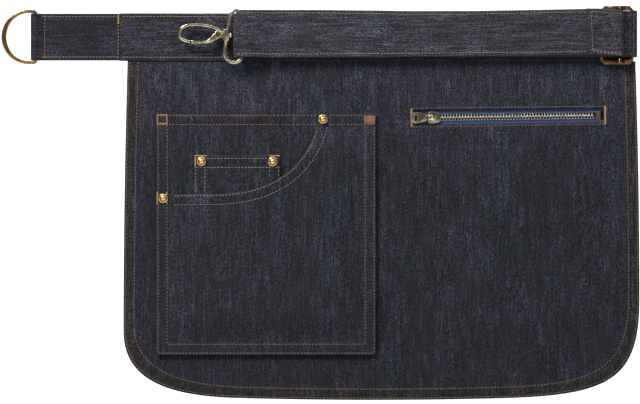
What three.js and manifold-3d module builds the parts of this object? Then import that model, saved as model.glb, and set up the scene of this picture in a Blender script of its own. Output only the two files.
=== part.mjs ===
// Waist apron in heavy denim: a hemmed panel under a waistband, a patch pocket with a curved mouth,
// a coin pocket, a zipped pocket, a D-ring on a tab and a folded adjustable belt with a snap hook.
// Millimetres, +Z up, the front faces -Y. The origin is the middle of the waistband's back face.
import * as THREE from 'three';
import { mergeVertices } from 'three/addons/utils/BufferGeometryUtils.js';
import Module from 'manifold-3d';

const wasm = await Module();
wasm.setup();

// ---- Driving dimensions ----

const gap = 0.3; // between pieces that touch
const denim = 1.2; // one layer of denim
const tape = 0.6; // zip tape and pocket lining

// Apron panel
const apronWidth = 439;
const apronTopWidth = apronWidth - 7;
const apronDrop = 288.5; // below the waistband
const bottomSag = 1.6;
const leftCorner = { run: 100, rise: 57 };
const rightCorner = { run: 114, rise: 84 };
const hemWidth = 9.4;
const hemLayer = 1.2;

// Waistband
const bandLength = apronWidth - 2;
const bandLeft = -apronWidth / 2 - 2.9;
const bandHeight = 40.4;
const bandRear = 2.4; // turned layers behind the panel
const bandSlotDepth = 11; // how far the panel's top goes up inside
const bandRound = 1;
const foldRoot = 5; // the belt's fold starts this far inside the band's length

// Patch pocket
const pocketWidth = 186.5;
const pocketHeight = 204.8;
const pocketFromLeft = 28.2; // from the panel's widest left edge
const pocketFromBand = 45.2;
const mouthDrop = 67.8; // pocket's top to the mouth's level stretch
const mouthReach = pocketWidth - 48; // pocket's left edge to the mouth's top end
const mouthLevel = 54; // length of the level stretch
const pocketPuff = 4.9; // how far the front panel stands off at the mouth
const pocketRim = 11; // flat, sewn border
const pocketRamp = 26;

// Coin pocket
const coinWidth = 73.1;
const coinHeight = 50;
const coinFromLeft = 32.2; // from the patch pocket's left edge
const coinFromTop = 34.9;

// Rivets
const rivetRadius = 4.1;
const rivetHeight = 1.9;
const rivetBackRadius = 3.6;
const rivetBackThickness = 0.9;
const rivetPost = 1.2;
const rivetInset = 5.9;

// Zip
const zipCentreFromBand = 47.4;
const zipCentreX = apronWidth / 2 - 111.5;
const zipTilt = 0.75; // degrees, right end up
const windowLength = 162.4;
const windowHeight = 12;
const toothPitch = 2.5;
const toothWidth = 0.95;
const toothCount = Math.round((windowLength - 24.9) / toothPitch);
const teethThickness = 1.8;
const teethHalf = 3.4;
const toothOverlap = 0.6;
const tapeHalf = 12;
const tapeOverrun = 7;
const sliderLength = 11;
const sliderWidth = 10.6;
const sliderPlate = 0.7;
const sliderFrontPlate = 1;
const pullLength = 12.6;
const pullHeight = 9.4;
const pullThickness = 1;
const pullEyeRadius = 3;
const bagHeight = 132;

// D-ring and its tab
const tabLength = 75.6;
const tabHeight = bandHeight - 0.6;
const ringInnerHalf = tabHeight / 2 + 0.4;
const ringHalfHeight = ringInnerHalf + 2.8;
const ringArcWidth = 4.15; // width of the metal at the far left
const ringBar = 3.6;
const ringReach = 28.7; // bar's centre to the far left
const tabThickness = 3.8;
const tabLoopRadius = 3.85;

// Belt
const beltHeight = 39;
const beltRise = 2.4; // belt's centre above the waistband's
const beltThickness = 1.6;
const beltLength = 338.8; // fold at the hook to the fold at the waistband's end
const beltFoldHeight = beltHeight - 6;
const beltFoldDrop = 1.9; // fold's centre below the belt's
const tabPatch = 29.5; // length of the sewn end
const wire = 3; // hook ring

// Strap slider
const slideWidth = 28.1;
const slideRail = 4;
const slideHeight = beltHeight + 2 * slideRail + 2.8;
const slideBar = 2.6;
const slideChamfer = 3.4;

// Snap hook
const hookLength = 37.4; // swivel collar to the far left
const hookThickness = 3;
const hookArm = 2.4;
const gateThickness = 4.2;
const gateSlot = 2.6;
const gateTongue = 2;
const gateLobe = 3;
const gatePinRadius = 0.95;
const swivelPost = 1.5;
const swivelHead = 2.55;
const bossLength = 5.4;
const bossHeight = 10.2;
const bossDepth = 5.4;

// ---- Places worked out from them ----

const panelBack = -(bandRear + gap);
const panelFront = panelBack - denim;
const bandFront = -(bandRear + denim + 2 * gap + denim);
const bandRight = bandLeft + bandLength;
const bandEnd = bandRight - foldRoot;
const bandBottom = -bandHeight / 2;
const panelTop = Math.min(bandBottom, beltRise - beltHeight / 2 - 2 * gap); // clears a taller belt
const panelBottom = bandBottom - apronDrop;

const pocketLeft = -apronWidth / 2 + pocketFromLeft;
const pocketRight = pocketLeft + pocketWidth;
const pocketTop = bandBottom - pocketFromBand;
const pocketBottom = pocketTop - pocketHeight;
const facingBack = panelFront - gap;
const facingFront = facingBack - denim;
const coverBack = facingFront - gap;

// ---- Materials ----

function cloth(colour) {
  return new THREE.MeshStandardMaterial({ color: colour, roughness: 0.92, metalness: 0 });
}

function metal(colour, roughness) {
  return new THREE.MeshStandardMaterial({ color: colour, roughness, metalness: 1 });
}

const denimDark = cloth(0x2b2c3a);
const liningDark = cloth(0x20222c);
const tapeBlue = cloth(0x1f3f86);
const antiqueBrass = metal(0x8f6c38, 0.4);
const paleBrass = metal(0xc3bb96, 0.32);
const copperBronze = metal(0xa0714c, 0.38);
const rivetBrass = metal(0xb98d52, 0.35);
const zipBrass = metal(0xb09a63, 0.35);
const steelWire = metal(0x8a8a88, 0.35);

// ---- Helpers ----

const apron = new THREE.Group();

function addMesh(name, geometry, material, parent = apron) {
  const mesh = new THREE.Mesh(geometry, material);
  mesh.name = name;
  parent.add(mesh);
  return mesh;
}

function toSolid(geometry) {
  const bare = geometry.clone();
  bare.deleteAttribute('normal');
  bare.deleteAttribute('uv');
  const merged = mergeVertices(bare, 1e-4);
  return new wasm.Manifold(new wasm.Mesh({
    numProp: 3,
    vertProperties: new Float32Array(merged.attributes.position.array),
    triVerts: new Uint32Array(merged.index.array),
  }));
}

function toGeometry(solid) {
  const mesh = solid.getMesh();
  const geometry = new THREE.BufferGeometry();
  geometry.setAttribute('position', new THREE.BufferAttribute(mesh.vertProperties, 3));
  geometry.setIndex(new THREE.BufferAttribute(mesh.triVerts, 1));
  geometry.computeVertexNormals();
  return geometry;
}

// A shape drawn in x and z, from yBack forward by depth. A bevel rounds its edges inside that size.
function flatGeometry(shape, depth, yBack, bevel = 0, curveSegments = 12) {
  const geometry = new THREE.ExtrudeGeometry(shape, {
    depth: depth - 2 * bevel,
    curveSegments,
    bevelEnabled: bevel > 0,
    bevelThickness: bevel,
    bevelSize: bevel,
    bevelOffset: -bevel,
    bevelSegments: 2,
  });
  geometry.rotateX(Math.PI / 2);
  geometry.translate(0, yBack - bevel, 0);
  return geometry;
}

// A shape drawn in x and y, as seen from above, standing from zLow to zHigh.
function standingGeometry(shape, zLow, zHigh, curveSegments = 10) {
  const geometry = new THREE.ExtrudeGeometry(shape, {
    depth: zHigh - zLow,
    curveSegments,
    bevelEnabled: false,
  });
  geometry.translate(0, 0, zLow);
  return geometry;
}

// A shape drawn in y and z, run along x.
function runGeometry(shape, xLow, xHigh) {
  const geometry = new THREE.ExtrudeGeometry(shape, { depth: xHigh - xLow, bevelEnabled: false });
  geometry.rotateX(Math.PI / 2);
  geometry.rotateZ(Math.PI / 2);
  geometry.translate(xLow, 0, 0);
  return geometry;
}

function boxBetween(low, high) {
  const geometry = new THREE.BoxGeometry(high[0] - low[0], high[1] - low[1], high[2] - low[2]);
  geometry.translate((low[0] + high[0]) / 2, (low[1] + high[1]) / 2, (low[2] + high[2]) / 2);
  return geometry;
}

function polygon(points) {
  return new THREE.Shape(points.map(([a, b]) => new THREE.Vector2(a, b)));
}

function rectangle(left, right, low, high) {
  return polygon([[left, low], [right, low], [right, high], [left, high]]);
}

// A cylinder along y, for rivet and pin holes.
function holeAlongY(x, z, radius, yHigh, yLow, sides = 16) {
  const geometry = new THREE.CylinderGeometry(radius, radius, yHigh - yLow, sides);
  geometry.translate(x, (yHigh + yLow) / 2, z);
  return toSolid(geometry);
}

function cylinderAlongX(radius, xLow, xHigh, y, z, sides = 20) {
  const geometry = new THREE.CylinderGeometry(radius, radius, xHigh - xLow, sides);
  geometry.rotateZ(Math.PI / 2);
  geometry.translate((xLow + xHigh) / 2, y, z);
  return toSolid(geometry);
}

// Points at a distance to the left of a plane curve's direction of travel.
function offsetPoints(curve, distance, divisions) {
  const points = [];
  for (let i = 0; i <= divisions; i += 1) {
    const point = curve.getPointAt(i / divisions);
    const tangent = curve.getTangentAt(i / divisions);
    points.push(new THREE.Vector2(point.x - tangent.y * distance, point.y + tangent.x * distance));
  }
  return points;
}

// Points along a straight stretch carry no shape, and only each stretch's ends are kept.
function withoutStraightPoints(points, closed) {
  const count = points.length;
  return points.filter((point, i) => {
    if (!closed && (i === 0 || i === count - 1)) return true;
    const before = points[(i + count - 1) % count];
    const after = points[(i + 1) % count];
    const a = point.clone().sub(before).normalize();
    const b = after.clone().sub(point).normalize();
    return Math.abs(a.cross(b)) > 1e-3;
  });
}

function plateWithCentreline(points, closed, width, divisions) {
  const path = points.map(([a, b]) => new THREE.Vector3(a, b, 0));
  const curve = new THREE.CatmullRomCurve3(path, closed, 'centripetal');
  const sides = [width / 2, -width / 2].map((distance) => {
    const side = offsetPoints(curve, distance, divisions);
    if (closed) side.pop();
    return withoutStraightPoints(side, closed);
  });
  const [left, right] = sides;
  if (!closed) return new THREE.Shape([...left, ...right.reverse()]);
  const [outer, inner] = [left, right]
    .map((side) => (THREE.ShapeUtils.isClockWise(side) ? side.reverse() : side))
    .sort((a, b) => THREE.ShapeUtils.area(b) - THREE.ShapeUtils.area(a));
  const shape = new THREE.Shape(outer);
  shape.holes.push(new THREE.Path(inner));
  return shape;
}

// ---- Apron panel and waistband ----

function panelOutline(inset, top) {
  const half = apronWidth / 2 - inset;
  const topHalf = apronTopWidth / 2 - inset;
  const bottom = panelBottom + bottomSag + inset;
  const leftTurn = bottom + leftCorner.rise - inset / 2;
  const rightTurn = bottom + rightCorner.rise - inset / 2;
  const leftFoot = -half + leftCorner.run - inset / 2;
  const rightFoot = half - rightCorner.run + inset / 2;
  const shape = new THREE.Shape();
  shape.moveTo(-topHalf, top);
  shape.quadraticCurveTo(-half, (panelTop + leftTurn) / 2, -half, leftTurn);
  shape.bezierCurveTo(
    -half, bottom + 0.34 * leftCorner.rise,
    -half + 0.3 * leftCorner.run, bottom + 0.02 * leftCorner.rise,
    leftFoot, bottom,
  );
  shape.quadraticCurveTo((leftFoot + rightFoot) / 2, bottom - 2 * bottomSag, rightFoot, bottom);
  shape.bezierCurveTo(
    half - 0.21 * rightCorner.run, bottom + 0.03 * rightCorner.rise,
    half, bottom + 0.2 * rightCorner.rise,
    half, rightTurn,
  );
  shape.quadraticCurveTo(half, (panelTop + rightTurn) / 2, topHalf, top);
  return shape;
}

const zipCentreZ = bandBottom - zipCentreFromBand;
const zipAngle = -THREE.MathUtils.degToRad(zipTilt);

function placeInZip(geometry) {
  geometry.rotateY(zipAngle);
  geometry.translate(zipCentreX, 0, zipCentreZ);
  return geometry;
}

const rivetSpots = {
  mouth_left: [pocketLeft + rivetInset, pocketTop - mouthDrop - 3.9, 'cover'],
  mouth_top: [pocketLeft + mouthReach + 3.1, pocketTop - 4.4, 'cover'],
  coin_left: [pocketLeft + coinFromLeft + 6.1, pocketTop - coinFromTop - 5.4, 'coin'],
  coin_right: [pocketLeft + coinFromLeft + coinWidth - 6.4, pocketTop - coinFromTop - 5.7, 'coin'],
};

function rivetHoles(yHigh, yLow, only) {
  return Object.values(rivetSpots)
    .filter(([, , on]) => !only || on === only)
    .map(([x, z]) => holeAlongY(x, z, rivetPost + gap, yHigh, yLow));
}

function drilled(solid, holes) {
  return holes.reduce((rest, hole) => rest.subtract(hole), solid);
}

function makePanel() {
  const sheet = toSolid(flatGeometry(panelOutline(0, panelTop - gap), denim, panelBack, 0, 14));
  const tongueTop = bandBottom + bandSlotDepth - 2 * gap;
  const tongueEnd = Math.min(apronTopWidth / 2, bandEnd) - 1;
  const tongue = toSolid(boxBetween(
    [-tongueEnd, panelFront, panelTop - 2],
    [tongueEnd, panelBack, tongueTop],
  ));
  const hemShape = panelOutline(0, panelTop - gap);
  const hemHole = panelOutline(hemWidth, panelTop + 5);
  const hemBand = toSolid(flatGeometry(hemShape, hemLayer + 0.05, panelBack + hemLayer, 0, 14));
  const hemCut = toSolid(flatGeometry(hemHole, hemLayer + 2, panelBack + hemLayer + 1, 0, 14));
  const zipWindow = toSolid(placeInZip(boxBetween(
    [-windowLength / 2, panelFront - 1, -windowHeight / 2],
    [windowLength / 2, panelBack + 1, windowHeight / 2],
  )));
  const whole = sheet.add(tongue).add(hemBand.subtract(hemCut)).subtract(zipWindow);
  return drilled(whole, rivetHoles(panelBack + 1, panelFront - 1));
}

addMesh('apron_panel', toGeometry(makePanel()), denimDark);

function bandProfile() {
  const half = bandHeight / 2;
  const slotBack = -bandRear;
  const slotFront = -(bandRear + denim + 2 * gap);
  const shape = new THREE.Shape();
  shape.moveTo(0, -half);
  shape.lineTo(0, half - bandRound);
  shape.quadraticCurveTo(0, half, -bandRound, half);
  shape.lineTo(bandFront + bandRound, half);
  shape.quadraticCurveTo(bandFront, half, bandFront, half - bandRound);
  shape.lineTo(bandFront, -half);
  shape.lineTo(slotFront, -half);
  shape.lineTo(slotFront, -half + bandSlotDepth);
  shape.lineTo(slotBack, -half + bandSlotDepth);
  shape.lineTo(slotBack, -half);
  return shape;
}

addMesh('waistband', runGeometry(bandProfile(), bandLeft, bandEnd), denimDark);

// ---- Patch pocket ----

function ramp(distance) {
  const t = THREE.MathUtils.clamp((distance - pocketRim) / pocketRamp, 0, 1);
  return t * t * (3 - 2 * t);
}

function puffAt(x, z) {
  const sides = ramp(x - pocketLeft) * ramp(pocketRight - x);
  return pocketPuff * sides * ramp(z - pocketBottom) * ramp(pocketTop - z);
}

// A sheet that bulges along y by bulge(x, z), as a grid of columns and rows.
function bulgedSheet(left, right, low, high, thickness, yBack, bulge, columns, rows) {
  const geometry = new THREE.BoxGeometry(right - left, thickness, high - low, columns, 1, rows);
  geometry.translate((left + right) / 2, yBack - thickness / 2, (low + high) / 2);
  const position = geometry.attributes.position;
  for (let i = 0; i < position.count; i += 1) {
    position.setY(i, position.getY(i) + bulge(position.getX(i), position.getZ(i)));
  }
  return geometry;
}

function coverOutline() {
  const level = pocketTop - mouthDrop;
  const mouthEnd = pocketLeft + mouthReach;
  const bendStart = pocketLeft + mouthLevel;
  const shape = new THREE.Shape();
  shape.moveTo(pocketLeft, pocketBottom);
  shape.lineTo(pocketRight, pocketBottom);
  shape.lineTo(pocketRight, pocketTop);
  shape.lineTo(mouthEnd, pocketTop);
  shape.bezierCurveTo(
    mouthEnd - 7.5, pocketTop - 0.66 * mouthDrop,
    bendStart + 0.54 * (mouthEnd - bendStart), level + 1.5,
    bendStart, level,
  );
  shape.lineTo(pocketLeft, level - 0.7);
  return shape;
}

const facingInset = 0.6;
const facingShape = rectangle(
  pocketLeft + facingInset, pocketRight - facingInset, pocketBottom + facingInset, pocketTop,
);
const facingSheet = toSolid(flatGeometry(facingShape, denim, facingBack));
const facingHoles = rivetHoles(facingBack + 1, facingFront - 1);
addMesh('pocket_facing', toGeometry(drilled(facingSheet, facingHoles)), denimDark);

const coverSheet = toSolid(bulgedSheet(
  pocketLeft - 1, pocketRight + 1, pocketBottom - 1, pocketTop + 1,
  denim, coverBack, (x, z) => -puffAt(x, z), 20, 22,
));
const coverCut = toSolid(flatGeometry(coverOutline(), pocketPuff + 10, coverBack + 3, 0, 16));
const coverHoles = rivetHoles(coverBack + 1, coverBack - denim - 1, 'cover');
const cover = drilled(coverSheet.intersect(coverCut), coverHoles);
addMesh('pocket_front_panel', toGeometry(cover), denimDark);

const coinLeft = pocketLeft + coinFromLeft;
const coinTop = pocketTop - coinFromTop;
const coinShape = rectangle(coinLeft, coinLeft + coinWidth, coinTop - coinHeight, coinTop);
const coinFront = coverBack - denim;
const coinSheet = toSolid(flatGeometry(coinShape, denim, coverBack));
const coinHoles = rivetHoles(coverBack + 1, coinFront - 1, 'coin');
addMesh('coin_pocket', toGeometry(drilled(coinSheet, coinHoles)), denimDark);

// ---- Rivets: a domed cap in front and a nail with a flat head behind ----

function lathe(profile, sides) {
  return new THREE.LatheGeometry(profile.map(([r, y]) => new THREE.Vector2(r, y)), sides);
}

function rivetCap() {
  const r = rivetRadius;
  const h = rivetHeight;
  return lathe([
    [0, -0.5 * h],
    [rivetPost + gap, -0.5 * h],
    [rivetPost + gap, 0],
    [r, 0],
    [r, -0.4 * h],
    [0.9 * r, -0.66 * h],
    [0.74 * r, -0.7 * h],
    [0.62 * r, -0.45 * h + 0.1],
    [0.46 * r, -0.6 * h],
    [0.26 * r, -0.92 * h],
    [0, -h],
  ].reverse(), 20);
}

function rivetNail(length) {
  return lathe([
    [0, 0],
    [rivetBackRadius, 0],
    [rivetBackRadius, -0.6 * rivetBackThickness],
    [rivetBackRadius - 0.3, -rivetBackThickness],
    [rivetPost, -rivetBackThickness],
    [rivetPost, -length],
    [0, -length],
  ].reverse(), 20);
}

const nailBack = panelBack + gap + rivetBackThickness;
const rivetFronts = { cover: coverBack - denim, coin: coinFront };
for (const [spot, [x, z, on]] of Object.entries(rivetSpots)) {
  const seat = rivetFronts[on] - gap;
  const cap = addMesh(`rivet_cap_${spot}`, rivetCap(), rivetBrass);
  cap.position.set(x, seat, z);
  const nailLength = nailBack - seat + 0.5 * rivetHeight - gap;
  const nail = addMesh(`rivet_nail_${spot}`, rivetNail(nailLength), rivetBrass);
  nail.position.set(x, nailBack, z);
}

// ---- Zipped pocket ----

const zip = new THREE.Group();
zip.position.set(zipCentreX, 0, zipCentreZ);
zip.rotation.y = zipAngle;
apron.add(zip);

const tapeFront = panelBack + gap;
const teethCentreY = tapeFront + tape / 2;
const teethFront = teethCentreY - teethThickness / 2;
const teethEnd = windowLength / 2 - 7.2; // where the bottom stop starts
const teethStart = teethEnd - gap - toothCount * toothPitch;

for (const [side, sign] of [['upper', 1], ['lower', -1]]) {
  const outer = sign * tapeHalf;
  const inner = sign * (teethHalf + gap);
  const shape = rectangle(
    -windowLength / 2 - tapeOverrun, windowLength / 2 + tapeOverrun,
    Math.min(outer, inner), Math.max(outer, inner),
  );
  addMesh(`zip_tape_${side}`, flatGeometry(shape, tape, tapeFront + tape), tapeBlue, zip);
}

// One row of teeth on its bead. The two rows mesh with half a pitch between them.
function toothRow(sign) {
  const bead = 1.7; // inner edge of the bead, from the centre line
  const points = [[teethStart, sign * teethHalf], [teethStart, sign * bead]];
  const shift = sign > 0 ? 0 : toothPitch / 2;
  for (let i = 0; i < toothCount; i += 1) {
    const left = teethStart + shift + gap + i * toothPitch;
    const right = left + toothWidth;
    points.push([left, sign * bead], [left, -sign * toothOverlap]);
    points.push([right, -sign * toothOverlap], [right, sign * bead]);
  }
  const end = teethStart + toothCount * toothPitch;
  points.push([end, sign * bead], [end, sign * teethHalf]);
  return polygon(sign > 0 ? points : points.reverse());
}

for (const [side, sign] of [['upper', 1], ['lower', -1]]) {
  const geometry = flatGeometry(toothRow(sign), teethThickness, teethFront + teethThickness);
  addMesh(`zip_teeth_${side}`, geometry, zipBrass, zip);
}

const stopBlock = flatGeometry(
  rectangle(teethEnd, teethEnd + 4.3, -teethHalf, teethHalf),
  teethThickness, teethFront + teethThickness, 0.3,
);
addMesh('zip_bottom_stop', stopBlock, zipBrass, zip);

const sliderLeft = teethStart - 5;
const sliderRight = sliderLeft + sliderLength;
const channelFront = teethFront - 0.2;
const channelBack = teethFront + teethThickness + 0.2;
const sliderTop = channelFront - sliderFrontPlate;
const pullPivotX = sliderLeft + 4;
const pullPivotY = sliderTop - gap - pullThickness / 2;

// Shield outline of the slider: two shoulders at the left, narrowing to the right.
function sliderOutline() {
  const half = sliderWidth / 2;
  const shape = new THREE.Shape();
  shape.moveTo(sliderLeft, -0.42 * half);
  shape.quadraticCurveTo(sliderLeft + 0.5, -half, sliderLeft + 3, -half);
  shape.quadraticCurveTo(sliderRight - 3, -0.9 * half, sliderRight, -0.62 * half);
  shape.lineTo(sliderRight, 0.62 * half);
  shape.quadraticCurveTo(sliderRight - 3, 0.9 * half, sliderLeft + 3, half);
  shape.quadraticCurveTo(sliderLeft + 0.5, half, sliderLeft, 0.42 * half);
  return shape;
}

function makeSlider() {
  const back = flatGeometry(sliderOutline(), sliderPlate, channelBack + sliderPlate, 0, 8);
  const front = flatGeometry(sliderOutline(), sliderFrontPlate, channelFront, 0.3, 8);
  const bridge = boxBetween(
    [sliderLeft + 0.4, channelFront - 0.2, -1.1],
    [sliderLeft + 3.6, channelBack + 0.2, 1.1],
  );
  const legTop = sliderTop - pullThickness - 2 * gap;
  const legs = [-1, 1].map((sign) => boxBetween(
    [pullPivotX + sign * 1.75 - 0.5, legTop - 0.7, -0.9],
    [pullPivotX + sign * 1.75 + 0.5, sliderTop + 0.2, 0.9],
  ));
  const arch = boxBetween([pullPivotX - 2.25, legTop - 0.7, -0.9], [pullPivotX + 2.25, legTop, 0.9]);
  return [front, bridge, ...legs, arch].map(toSolid).reduce((sum, part) => sum.add(part), toSolid(back));
}

addMesh('zip_slider', toGeometry(makeSlider()), zipBrass, zip);

// The pull hangs on its eye's bar, which lies along z under the slider's arch.
function makePull() {
  const half = pullThickness / 2;
  const eye = new THREE.Shape();
  eye.absarc(-pullEyeRadius + half, 0, pullEyeRadius, 0, 2 * Math.PI, false);
  const plate = new THREE.Shape();
  const right = -2 * pullEyeRadius + 1.2;
  const left = right - pullLength;
  const h = pullHeight / 2;
  plate.moveTo(right, -0.45 * h);
  plate.quadraticCurveTo(right - 1.5, -0.8 * h, left + 3, -h);
  plate.quadraticCurveTo(left, -h, left, 0);
  plate.quadraticCurveTo(left, h, left + 3, h);
  plate.quadraticCurveTo(right - 1.5, 0.8 * h, right, 0.45 * h);
  const eyeHole = rectangle(-2 * pullEyeRadius + half + 1, -half, -1.6, 1.6);
  const slot = rectangle(left + 2.3, left + 4.2, -2.6, 2.6);
  const solid = toSolid(flatGeometry(eye, pullThickness, half, 0, 10))
    .add(toSolid(flatGeometry(plate, pullThickness, half, 0.2, 6)))
    .subtract(toSolid(flatGeometry(eyeHole, 2 * pullThickness, pullThickness)))
    .subtract(toSolid(flatGeometry(slot, 2 * pullThickness, pullThickness)));
  return solid;
}

const pull = addMesh('zip_pull', toGeometry(makePull()), zipBrass, zip);
pull.position.set(pullPivotX, pullPivotY, 0);

for (const [side, sign] of [['upper', 1], ['lower', -1]]) {
  const low = sign > 0 ? 1 : -teethHalf;
  const shape = rectangle(sliderLeft - 3.6, sliderLeft - 1, low, low + teethHalf - 1);
  const geometry = flatGeometry(shape, teethThickness, teethFront + teethThickness, 0.3);
  addMesh(`zip_top_stop_${side}`, geometry, zipBrass, zip);
}

// The lining behind the zip is sewn round its edge and stands off where the slider runs.
const bagTop = tapeHalf + 10;
const bagSide = windowLength / 2 + tapeOverrun + 9;
const bagStandOff = channelBack + sliderPlate + 2 * gap - (tapeFront + tape);
function bagBulge(x, z) {
  const edge = Math.min(bagSide - Math.abs(x), bagTop - z, z - bagTop + bagHeight);
  return (bagStandOff + tape) * THREE.MathUtils.clamp((edge - 2) / 6, 0, 1);
}
const bagSheet = bulgedSheet(
  -bagSide, bagSide, bagTop - bagHeight, bagTop,
  tape, tapeFront + tape, bagBulge, 16, 16,
);
addMesh('zip_pocket_bag', bagSheet, liningDark, zip);

// ---- D-ring and its tab ----

const tabRight = bandLeft - gap;
const tabLeft = tabRight - tabLength;
const barX = tabLeft + tabLoopRadius;
const barY = -tabLoopRadius - 0.05;

function halfRound(halfHeight, barEdge, arcReach, corner) {
  const arcX = barX - 6;
  const outline = new THREE.Path();
  outline.moveTo(barEdge, -halfHeight + corner);
  outline.lineTo(barEdge, halfHeight - corner);
  outline.absarc(barEdge - corner, halfHeight - corner, corner, 0, Math.PI / 2, false);
  outline.absellipse(arcX, 0, arcX - arcReach, halfHeight, Math.PI / 2, 1.5 * Math.PI, false, 0);
  outline.absarc(barEdge - corner, -halfHeight + corner, corner, 1.5 * Math.PI, 2 * Math.PI, false);
  return outline.getPoints(11);
}

const ringLeft = barX - ringReach;
const ringShape = new THREE.Shape(halfRound(ringHalfHeight, barX + ringBar / 2, ringLeft, 3.4));
const ringEye = halfRound(ringInnerHalf, barX - ringBar / 2, ringLeft + ringArcWidth, 0.4);
ringShape.holes.push(new THREE.Path(ringEye));
addMesh('d_ring', flatGeometry(ringShape, ringBar, barY + ringBar / 2, 0.9), antiqueBrass);

function tabProfile() {
  const back = barY + 0.7 + tabThickness / 2;
  const front = back - tabThickness;
  const sewn = tabLeft + 12;
  const opening = THREE.MathUtils.degToRad(75);
  const shape = new THREE.Shape();
  shape.moveTo(tabRight, back);
  shape.lineTo(sewn, back);
  shape.absarc(barX, barY, tabLoopRadius, opening, 2 * Math.PI - opening, false);
  shape.lineTo(sewn, front);
  shape.lineTo(tabRight, front);
  const hole = new THREE.Path();
  hole.absarc(barX, barY, ringBar / 2 + 0.5, 0, 2 * Math.PI, true);
  shape.holes.push(hole);
  return shape;
}

addMesh('d_ring_tab', standingGeometry(tabProfile(), -tabHeight / 2, tabHeight / 2), denimDark);

// ---- Belt, seen from above ----

const beltLow = beltRise - beltHeight / 2;
const beltHigh = beltRise + beltHeight / 2;
const slideBack = bandFront - gap;
const slideFront = slideBack - slideBar;
const returnBack = slideFront - gap;
const returnFront = returnBack - beltThickness;
const runBack = returnFront - gap;
const runFront = runBack - beltThickness;
const centreBarBack = runFront - gap;
const centreBarFront = centreBarBack - slideBar;

// The belt leaves the waistband, turns round the slider's end bar and comes back in front of it.
const rootBack = panelBack + 0.8;
const turnRadius = (rootBack - returnFront) / 2;
const turnY = rootBack - turnRadius;
const turnX = bandRight - 1.5;

function turnProfile() {
  const inner = turnRadius - beltThickness;
  const shape = new THREE.Shape();
  shape.moveTo(bandEnd + gap, rootBack - beltThickness);
  shape.lineTo(turnX, turnY + inner);
  shape.absarc(turnX, turnY, inner, Math.PI / 2, -Math.PI / 2, true);
  shape.lineTo(turnX, turnY - turnRadius);
  shape.absarc(turnX, turnY, turnRadius, -Math.PI / 2, Math.PI / 2, false);
  shape.lineTo(bandEnd + gap, rootBack);
  return shape;
}

addMesh('strap_turn', standingGeometry(turnProfile(), beltLow, beltHigh), denimDark);

// Fold that holds the hook ring: open to the right, closed at the left.
const foldLeft = turnX + turnRadius - beltLength - turnRadius;
const foldInner = wire / 2 + gap;
const foldOuter = foldInner + beltThickness;
const foldX = foldLeft + foldOuter;
const ringY = returnFront - foldInner;
const foldEnd = foldX + 6.6;
const foldCentre = beltRise - beltFoldDrop;

const returnRun = rectangle(foldEnd + gap, turnX - gap, returnFront, returnBack);
addMesh('strap_return_run', standingGeometry(returnRun, beltLow, beltHigh), denimDark);

function foldProfile() {
  const shape = new THREE.Shape();
  shape.moveTo(foldEnd, ringY + foldInner);
  shape.lineTo(foldEnd, ringY + foldOuter);
  shape.lineTo(foldX, ringY + foldOuter);
  shape.absarc(foldX, ringY, foldOuter, Math.PI / 2, 1.5 * Math.PI, false);
  shape.lineTo(foldEnd, ringY - foldOuter);
  shape.lineTo(foldEnd, ringY - foldInner);
  shape.lineTo(foldX, ringY - foldInner);
  shape.absarc(foldX, ringY, foldInner, 1.5 * Math.PI, Math.PI / 2, true);
  return shape;
}

addMesh('strap_hook_fold', standingGeometry(
  foldProfile(), foldCentre - beltFoldHeight / 2, foldCentre + beltFoldHeight / 2,
), denimDark);

// Slider across the belt, with its centre bar raised in front of both strap layers.
const slideRight = turnX + slideBar / 2 - 0.9 + 0.5;
const slideLeft = slideRight - slideWidth;
const slideTop = beltHigh + slideRail + 0.4;
const slideBottom = slideTop - slideHeight;
const tabFoldInner = slideBar / 2 + gap;
const tabFoldOuter = tabFoldInner + beltThickness;
const centreBarX = slideRight - 12.1;
const centreBarY = (centreBarBack + centreBarFront) / 2;

// Front run: from the hook fold it settles onto the return run and goes under the sewn end.
const runStart = foldEnd + gap;
const runSettled = runStart + 22;
const runProfile = polygon([
  [runStart, ringY - foldInner],
  [runSettled, runBack],
  [centreBarX - gap, runBack],
  [centreBarX - gap, runFront],
  [runSettled, runFront],
  [runStart, ringY - foldOuter],
]);
addMesh('strap_front_run', standingGeometry(runProfile, beltLow, beltHigh), denimDark);

// Sewn end: round the centre bar and back over the front run.
function sewnEndProfile() {
  const low = runFront - gap;
  const left = centreBarX - tabPatch + tabFoldOuter;
  const shape = new THREE.Shape();
  shape.moveTo(centreBarX, centreBarY + tabFoldInner);
  shape.absarc(centreBarX, centreBarY, tabFoldInner, Math.PI / 2, -Math.PI / 2, true);
  shape.lineTo(centreBarX - 2.5, centreBarY - tabFoldInner);
  shape.lineTo(centreBarX - 9, low);
  shape.lineTo(left, low);
  shape.lineTo(left, low - beltThickness);
  shape.lineTo(centreBarX - 9.5, low - beltThickness);
  shape.lineTo(centreBarX - 3, centreBarY - tabFoldOuter);
  shape.lineTo(centreBarX, centreBarY - tabFoldOuter);
  shape.absarc(centreBarX, centreBarY, tabFoldOuter, -Math.PI / 2, Math.PI / 2, false);
  return shape;
}

addMesh('strap_sewn_end', standingGeometry(sewnEndProfile(), beltLow, beltHigh), denimDark);

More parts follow.
